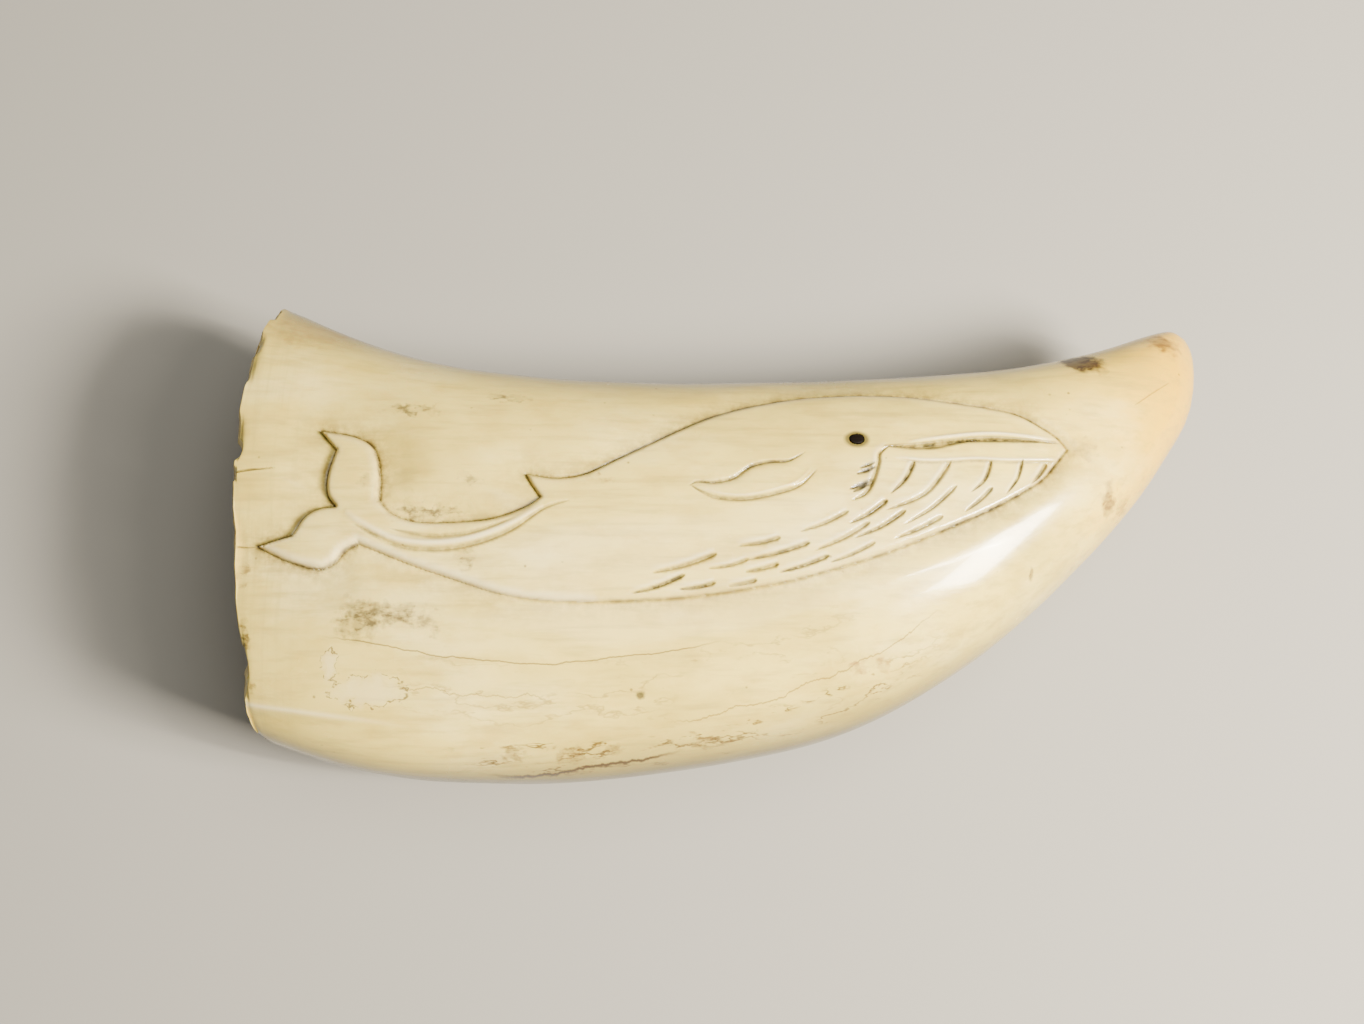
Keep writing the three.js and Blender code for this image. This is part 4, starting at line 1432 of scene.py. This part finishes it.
@dataclass
class Tooth:
    """The whole tooth as one closed skin: its outside, the broken rim and the pulp cavity."""

    form: ToothForm
    carving: Carving
    around: int = 84
    spacing: float = 2.0
    bore: float = 0.5  # the blank's inner radius, as a share of its outer one
    rim_shares: tuple[float, ...] = (0.04, 0.15, 0.4, 0.6, 0.85, 0.96, 1.0)
    cavity_rings: int = 26
    rim_divisions: tuple[float, ...] = (0.3, 0.06)  # how many ribs behind the rim each one reaches
    divisions: tuple[float, ...] = (4.5, 1.8, 0.75, 0.27)  # how near the carving each further one is
    divided_above: float = 0.2  # in radii of the blank, and so are the next two
    outer_radius: float = 0.9  # the outer faces' middles are further than this from the axis
    rim_radius: float = 0.505  # and the rim's than this
    pulp_slack: float = 0.01  # in ribs: how far past its end rounding may leave the cavity's
    vein_line: Points = (
        (-60.0, -29.0), (-45.0, -31.8), (-34.0, -33.4), (-25.0, -33.8), (-14.0, -33.0), (-2.3, -31.4),
        (8.0, -28.9), (18.0, -25.5), (28.0, -20.5), (40.0, -12.0),
    )
    vein_reach: float = 20.0
    chips: tuple[RimChip, ...] = (
        RimChip(78, 0.9, 1.6), RimChip(128, 1.2, 1.8), RimChip(158, 1.6, 2.6),
        RimChip(215, 1.8, 3.4), RimChip(300, 1.3, 2.4),
    )
    half_round: float = 95.0  # half the way round the rim
    flake_count: int = 46
    ragged: float = 0.32
    ragged_teeth: tuple[tuple[int, float], ...] = ((23, 0.9), (61, 0.7), (149, 0.5))
    chip_power: float = 0.7
    crown: float = 0.3  # how far the middle of the broken wall stands out
    crown_power: float = 3
    break_reach: float = 0.1  # in ribs
    waviness: float = 0.1
    wave_lengths: Span = (9, 30)
    lumps: float = 0.25  # how uneven the broken wall is
    lump_lengths: Span = (1.5, 7)
    lump_sink: float = 0.1
    smooth_tip: float = 0.6  # how many ribs before the tip its waviness ends
    flake_grime: float = 0.6
    flake_grime_most: float = 0.3
    face_rise: float = 0.15  # the least sine of the angle at which the face is carved
    veins_from: float = -0.3
    veins_to: float = 0.3
    skin_through: float = 0.02  # how far through the wall a face of the outer skin may reach
    seed: int = 11
    smooth_angle: float = 50

    def build(self) -> bpy.types.Object:
        """Makes, carves and dresses the tooth."""
        piece = self._draw_blank()
        self._divide(piece)
        self._bend_and_carve(piece)
        for finish in (Ivory(), BrokenDentine()):
            piece.data.materials.append(finish.material())
        bpy.ops.object.shade_smooth_by_angle(angle=math.radians(self.smooth_angle))
        return piece

    def _draw_blank(self) -> bpy.types.Object:
        """Draws the straight hollow blank, with one unit along X for each rib."""
        bpy.ops.object.select_all(action="DESELECT")
        bpy.ops.mesh.primitive_circle_add(
            vertices=self.around, radius=1, rotation=(0, math.pi / 2, 0)
        )
        piece = bpy.context.active_object
        piece.name = piece.data.name = "ivory_tooth"
        bpy.ops.object.transform_apply(location=False, rotation=True, scale=False)
        bpy.context.tool_settings.mesh_select_mode = (True, False, False)
        bpy.ops.object.mode_set(mode="EDIT")
        bpy.ops.mesh.select_all(action="SELECT")
        stations = self.form.stations(self.spacing)
        for here, there in zip(stations, stations[1:]):
            bpy.ops.mesh.extrude_edges_move(TRANSFORM_OT_translate={"value": (there - here, 0, 0)})
        bpy.ops.mesh.merge(type="CENTER")
        bpy.ops.mesh.select_all(action="DESELECT")
        bpy.ops.object.mode_set(mode="OBJECT")
        for vertex in piece.data.vertices:
            vertex.select = abs(vertex.co.x) < NEAR_ZERO
        bpy.ops.object.mode_set(mode="EDIT")
        radius = 1.0
        for share in self.rim_shares:
            smaller = 1 - share * (1 - self.bore)
            bpy.ops.mesh.extrude_edges_move()
            squeeze = (1, smaller / radius, smaller / radius)
            bpy.ops.transform.resize(value=squeeze, center_override=(0, 0, 0))
            radius = smaller
        step = self.form.pulp_end / self.cavity_rings
        for _ in range(self.cavity_rings):
            bpy.ops.mesh.extrude_edges_move(TRANSFORM_OT_translate={"value": (step, 0, 0)})
        bpy.ops.mesh.merge(type="CENTER")
        bpy.ops.mesh.select_all(action="SELECT")
        bpy.ops.mesh.normals_make_consistent(inside=False)
        bpy.ops.mesh.select_all(action="DESELECT")
        bpy.ops.object.mode_set(mode="OBJECT")
        return piece

    def _blank_places(self, points: Array) -> tuple[Array, Array, Array]:
        """Reads points of the straight blank.

        Args:
            points: The points, one row each.

        Returns:
            The rib and the angle of each, and how far through the wall it is, from 0 to 1.
        """
        radius = np.hypot(points[:, 1], points[:, 2])
        through = np.clip((1 - radius) / (1 - self.bore), 0, 1)
        on_rim = points[:, 0] < NEAR_ZERO
        through = np.where(on_rim, through, np.round(through))
        in_root = points[:, 0] < self.form.pulp_end + self.pulp_slack
        through = np.where(in_root, through, 0)
        return points[:, 0], np.arctan2(points[:, 2], points[:, 1]), through

    def _smooth_points(self, points: Array) -> Array:
        """Where points of the blank lie once it is bent onto the ribs."""
        rib, angle, through = self._blank_places(points)
        inner_across, inner_up = self.form.wall_shares(rib)
        across, up = (1 + (inner - 1) * through for inner in (inner_across, inner_up))
        return self.form.points(rib, angle, across, up)

    def _subdivide(self, piece: bpy.types.Object, chosen: Array) -> None:
        """Divides the chosen faces once."""
        bpy.context.tool_settings.mesh_select_mode = (False, False, True)
        piece.data.polygons.foreach_set("select", chosen)
        bpy.ops.object.mode_set(mode="EDIT")
        bpy.ops.mesh.subdivide(number_cuts=1, smoothness=0, ngon=False, quadcorner="STRAIGHT_CUT")
        bpy.ops.mesh.select_all(action="DESELECT")
        bpy.ops.object.mode_set(mode="OBJECT")

    def _face_centres(self, piece: bpy.types.Object) -> tuple[Array, Array]:
        """The middles of the blank's faces, and how far each is from its axis."""
        centres = read_all(piece.data.polygons, "center", np.float32, 3)
        return centres, np.hypot(centres[:, 1], centres[:, 2])

    def _divide(self, piece: bpy.types.Object) -> None:
        """Divides the blank's faces near the rim and, in several steps, near the carving."""
        for reach in self.rim_divisions:
            centres, radius = self._face_centres(piece)
            self._subdivide(piece, (centres[:, 0] < reach) & (radius > self.rim_radius))
        for nearness in self.divisions:
            centres, radius = self._face_centres(piece)
            outer = (centres[:, 2] > self.divided_above) & (radius > self.outer_radius)
            chosen = np.zeros(len(centres), bool)
            places = self._smooth_points(centres[outer] / radius[outer, None] ** np.array([0, 1, 1]))
            chosen[outer] = self.carving.closeness(places[:, :2]) < nearness
            self._subdivide(piece, chosen)

    def _rim_break(self, rib: Array, angle: Array, through: Array, scoop: Array) -> Array:
        """How far back along the tooth the broken rim lies at each point."""
        back = scoop / 2 * (1 - through)
        for chip in self.chips:
            turn = abs(turn_from(angle, math.radians(chip.angle)))
            around = np.clip(1 - turn / np.pi * self.half_round / chip.wide, 0, 1)
            back += chip.deep * around**self.chip_power
        draw = np.random.default_rng(self.seed)
        for count, size in self.ragged_teeth:
            levels = draw.uniform(0, 1, count)
            at = (angle % (2 * np.pi)) / (2 * np.pi) * count
            low = np.floor(at).astype(int) % count
            share = at - np.floor(at)
            climb = levels[(low + 1) % count] - levels[low]
            back += self.ragged * size * (levels[low] + climb * share)
        crown = self.crown * abs(2 * through - 1) ** self.crown_power
        return (back + crown) * bell(rib, self.break_reach)

    def _bend_and_carve(self, piece: bpy.types.Object) -> None:
        """Bends the blank onto the ribs, carves it, and keeps the masks for its finish."""
        mesh = piece.data
        blank = read_all(mesh.vertices, "co", np.float32, 3)
        rib, angle, through = self._blank_places(blank)
        points = self._smooth_points(blank)
        behind = rib * self.form.rib_gap
        scoop = RimFlakes(self.seed, self.flake_count).scoop(angle, behind, self.half_round)
        masks = self._carve(points, angle, through)
        dirty = np.clip(scoop * self.flake_grime, 0, self.flake_grime_most) * (through < 0.5)
        masks["grime_and_shade"] = np.maximum(masks["grime_and_shade"], dirty)
        middle, _ = self.form.section(rib)
        inward = np.column_stack([middle, np.full(len(rib), self.form.mid_height)]) - points
        inward[:, 0] = 0
        inward /= np.maximum(np.linalg.norm(inward, axis=1), NEAR_ZERO)[:, None]
        uneven = Waves(self.seed, *self.wave_lengths)(points) / 2 + 0.5
        lumpy = self.lumps * Waves(self.seed + 1, *self.lump_lengths)(points) - self.lump_sink
        worn = self.waviness * uneven * (rib < self.form.last - self.smooth_tip)
        worn += scoop * (1 - through)
        points += inward * np.where(through > 0.5, lumpy, worn)[:, None]
        points[:, 0] += self._rim_break(rib, angle, through, scoop)
        points[:, 2] = np.clip(points[:, 2], 0, cad_box[1][2] / MM)
        mesh.vertices.foreach_set("co", (points * MM).astype(np.float32).ravel())
        for name, values in masks.items():
            mask = mesh.attributes.new(name, "FLOAT", "POINT")
            mask.data.foreach_set("value", values.astype(np.float32))
        self._mark_skin(mesh, through)
        mesh.update()

    def _carve(self, points: Array, angle: Array, through: Array) -> dict[str, Array]:
        """Carves the face's points, and works out the masks that the finish reads."""
        carved = (through == 0) & (np.sin(angle) > self.face_rise)
        relief = self.carving.relief(points[carved, :2])
        points[carved, 2] += relief.rise
        masks = {}
        for name in ("pigment", "grime_and_shade", "wear_and_highlight"):
            masks[name] = np.zeros(len(points))
            masks[name][carved] = np.clip(getattr(relief, name), 0, 1)
        veined = (np.sin(angle) > self.veins_from) & (np.cos(angle) < self.veins_to)
        masks["vein_offset"] = np.full(len(points), self.vein_reach)
        side = nearest_on(smooth_line(self.vein_line), points[veined, :2]).side
        masks["vein_offset"][veined] = np.clip(side, -self.vein_reach, self.vein_reach)
        return masks

    def _mark_skin(self, mesh: bpy.types.Mesh, through: Array) -> None:
        """Gives each face its part of the skin."""
        starts = read_all(mesh.polygons, "loop_start", np.int32)
        loops = read_all(mesh.loops, "vertex_index", np.int32)
        deepest = np.maximum.reduceat(through[loops], starts)
        parts = np.where(deepest > self.skin_through, Skin.BROKEN.value, Skin.OUTER.value)
        mesh.polygons.foreach_set("material_index", parts.astype(np.int32))


@dataclass
class EyeInlay:
    """The whale's eye: an oval peg of dark horn with a low domed head."""

    form: ToothForm
    carving: Carving
    depth: float = 2.0
    dome: float = 0.12
    rim_drop: float = 0.06
    sides: int = 64
    rings: int = 24
    smooth_angle: float = 35
    near_ribs: Span = (5, 8.5)  # where the face round the eye is measured
    near_angles: Span = (0.9, 1.9)
    near_reach: float = 2.0

    def build(self) -> bpy.types.Object:
        """Makes the peg, sets it in its seat and dresses it."""
        cad_low, cad_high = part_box("eye_inlay")
        bpy.ops.object.select_all(action="DESELECT")
        bpy.ops.mesh.primitive_uv_sphere_add(segments=self.sides, ring_count=self.rings, radius=1)
        piece = bpy.context.active_object
        piece.name = piece.data.name = "horn_eye"
        bpy.ops.object.mode_set(mode="EDIT")
        bpy.ops.mesh.select_all(action="SELECT")
        bpy.ops.mesh.bisect(plane_co=(0, 0, 0), plane_no=(0, 0, 1), clear_inner=True)
        bpy.ops.mesh.select_all(action="SELECT")
        bpy.ops.transform.resize(value=(1, 1, self.dome), center_override=(0, 0, 0))
        bpy.ops.mesh.select_all(action="DESELECT")
        bpy.ops.object.mode_set(mode="OBJECT")
        bpy.context.tool_settings.mesh_select_mode = (True, False, False)
        for vertex in piece.data.vertices:
            vertex.select = abs(vertex.co.z) < NEAR_ZERO
        bpy.ops.object.mode_set(mode="EDIT")
        for drop in (self.rim_drop, self.depth - self.rim_drop):
            bpy.ops.mesh.extrude_edges_move(TRANSFORM_OT_translate={"value": (0, 0, -drop)})
        bpy.ops.mesh.edge_face_add()
        bpy.ops.mesh.select_all(action="SELECT")
        bpy.ops.mesh.normals_make_consistent(inside=False)
        bpy.ops.object.mode_set(mode="OBJECT")
        self._set_in_seat(piece, (cad_low + cad_high) / 2)
        piece.data.materials.append(DarkHorn().material())
        bpy.ops.object.shade_smooth_by_angle(angle=math.radians(self.smooth_angle))
        return piece

    def _set_in_seat(self, piece: bpy.types.Object, middle: Vector) -> None:
        """Squeezes the peg to its oval and turns it square to the face, at the CAD peg's place."""
        piece.scale = (self.carving.eye_half[0] * MM, self.carving.eye_half[1] * MM, MM)
        normal = self._face_normal()
        piece.rotation_mode = "QUATERNION"
        piece.rotation_quaternion = Vector((0, 0, 1)).rotation_difference(normal)
        piece.location = middle + normal * ((self.depth - self.dome) / 2 * MM)
        bpy.ops.object.transform_apply(location=True, rotation=True, scale=True)

    def _face_normal(self) -> Vector:
        """The smooth face's normal at the eye, from points of the form round it."""
        grids = np.meshgrid(np.linspace(*self.near_ribs, 141), np.linspace(*self.near_angles, 101))
        ribs, angles = (grid.ravel() for grid in grids)
        whole = np.ones(len(ribs))
        points = self.form.points(ribs, angles, whole, whole)
        near = points[np.hypot(*(points[:, :2] - self.carving.eye_at).T) < self.near_reach]
        plane = np.column_stack([near[:, :2], np.ones(len(near))])
        slope, *_ = np.linalg.lstsq(plane, near[:, 2], rcond=None)
        return Vector((-slope[0], -slope[1], 1)).normalized()


@dataclass(frozen=True)
class Lamp:
    """A soft lamp that faces the tooth.

    Args:
        name: What it is called.
        at: Its place.
        wide: Its width.
        long: Its length.
        power: Its power, in watts.
        tint: Its colour.
    """

    name: str
    at: Place
    wide: float
    long: float
    power: float
    tint: str


@dataclass
class Studio:
    """A plain pale floor, soft lamps and the photograph's camera."""

    look_at: Place = (-5.63, 4.57, 19.7)
    camera_at: Place = (-5.63, -46.3, 249.2)
    lens: float = 40.0
    floor_width: float = 5000.0
    floor_drop: float = 0.02
    floor_tone: str = "#9a968c"
    floor_roughness: float = 0.8
    sky: float = 0.1
    sky_tone: str = "#e9edf2"
    camera_range: Span = (0.01, 20)  # in metres
    lamps: tuple[Lamp, ...] = (
        Lamp("window", (400, -140, 400), 170, 150, 13.5, "#fff7ea"),
        Lamp("window_edge", (330, -92, 450), 12, 190, 2.4, "#fff7ea"),
        Lamp("overhead", (110, 40, 570), 380, 340, 2.5, "#f8f6f0"),
    )

    def build(self) -> None:
        """Lays the floor and sets the lamps, the sky and the camera."""
        bpy.ops.object.select_all(action="DESELECT")
        at = (0, 0, -self.floor_drop * MM)
        bpy.ops.mesh.primitive_plane_add(size=self.floor_width * MM, location=at)
        floor = bpy.context.active_object
        floor.name = "studio_floor"
        bpy.ops.object.transform_apply(location=True)
        finish = Finish("matt_painted_board")
        finish.surface.inputs["Base Color"].default_value = shade(self.floor_tone)
        finish.surface.inputs["Roughness"].default_value = self.floor_roughness
        floor.data.materials.append(finish.material)
        self._light()
        self._stand_camera()

    def _light(self) -> None:
        """Hangs the lamps and gives the room a little light of its own."""
        world = bpy.data.worlds.new("soft_room")
        bpy.context.scene.world = world
        world.use_nodes = True
        sky = world.node_tree.nodes["Background"]
        sky.inputs["Color"].default_value = shade(self.sky_tone)
        sky.inputs["Strength"].default_value = self.sky
        for lamp in self.lamps:
            light = bpy.data.lights.new(lamp.name, "AREA")
            light.shape = "RECTANGLE"
            light.size, light.size_y = lamp.wide * MM, lamp.long * MM
            light.energy, light.color = lamp.power, shade(lamp.tint)[:3]
            stand = bpy.data.objects.new(lamp.name, light)
            bpy.context.scene.collection.objects.link(stand)
            stand.location = Vector(lamp.at) * MM
            stand.rotation_euler = (-stand.location).to_track_quat("-Z", "Y").to_euler()

    def _stand_camera(self) -> None:
        """Stands the camera where the photograph was taken from."""
        camera = bpy.data.objects.new("camera", bpy.data.cameras.new("camera"))
        bpy.context.scene.collection.objects.link(camera)
        camera.data.lens = self.lens
        camera.data.clip_start, camera.data.clip_end = self.camera_range
        camera.location = Vector(self.camera_at) * MM
        way = Vector(self.look_at) - Vector(self.camera_at)
        camera.rotation_euler = way.to_track_quat("-Z", "Y").to_euler()
        bpy.context.scene.camera = camera


def main() -> None:
    """Builds the tooth and its eye on their CAD solids, and reports each piece."""
    logging.basicConfig(level=logging.INFO, format="%(message)s")
    form, carving = ToothForm(), Carving()
    for maker, node, slot in ((Tooth, "tooth", "ivory"), (EyeInlay, "eye_inlay", "dark_horn")):
        piece = maker(form, carving).build()
        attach(piece, "root")
        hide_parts(node)
        faces = piece.data.polygons
        triangles = sum(len(face.vertices) - 2 for face in faces)
        log.info("%s: %d faces, %d triangles", piece.name, len(faces), triangles)
    Studio().build()


if __name__ == "__main__":
    main()
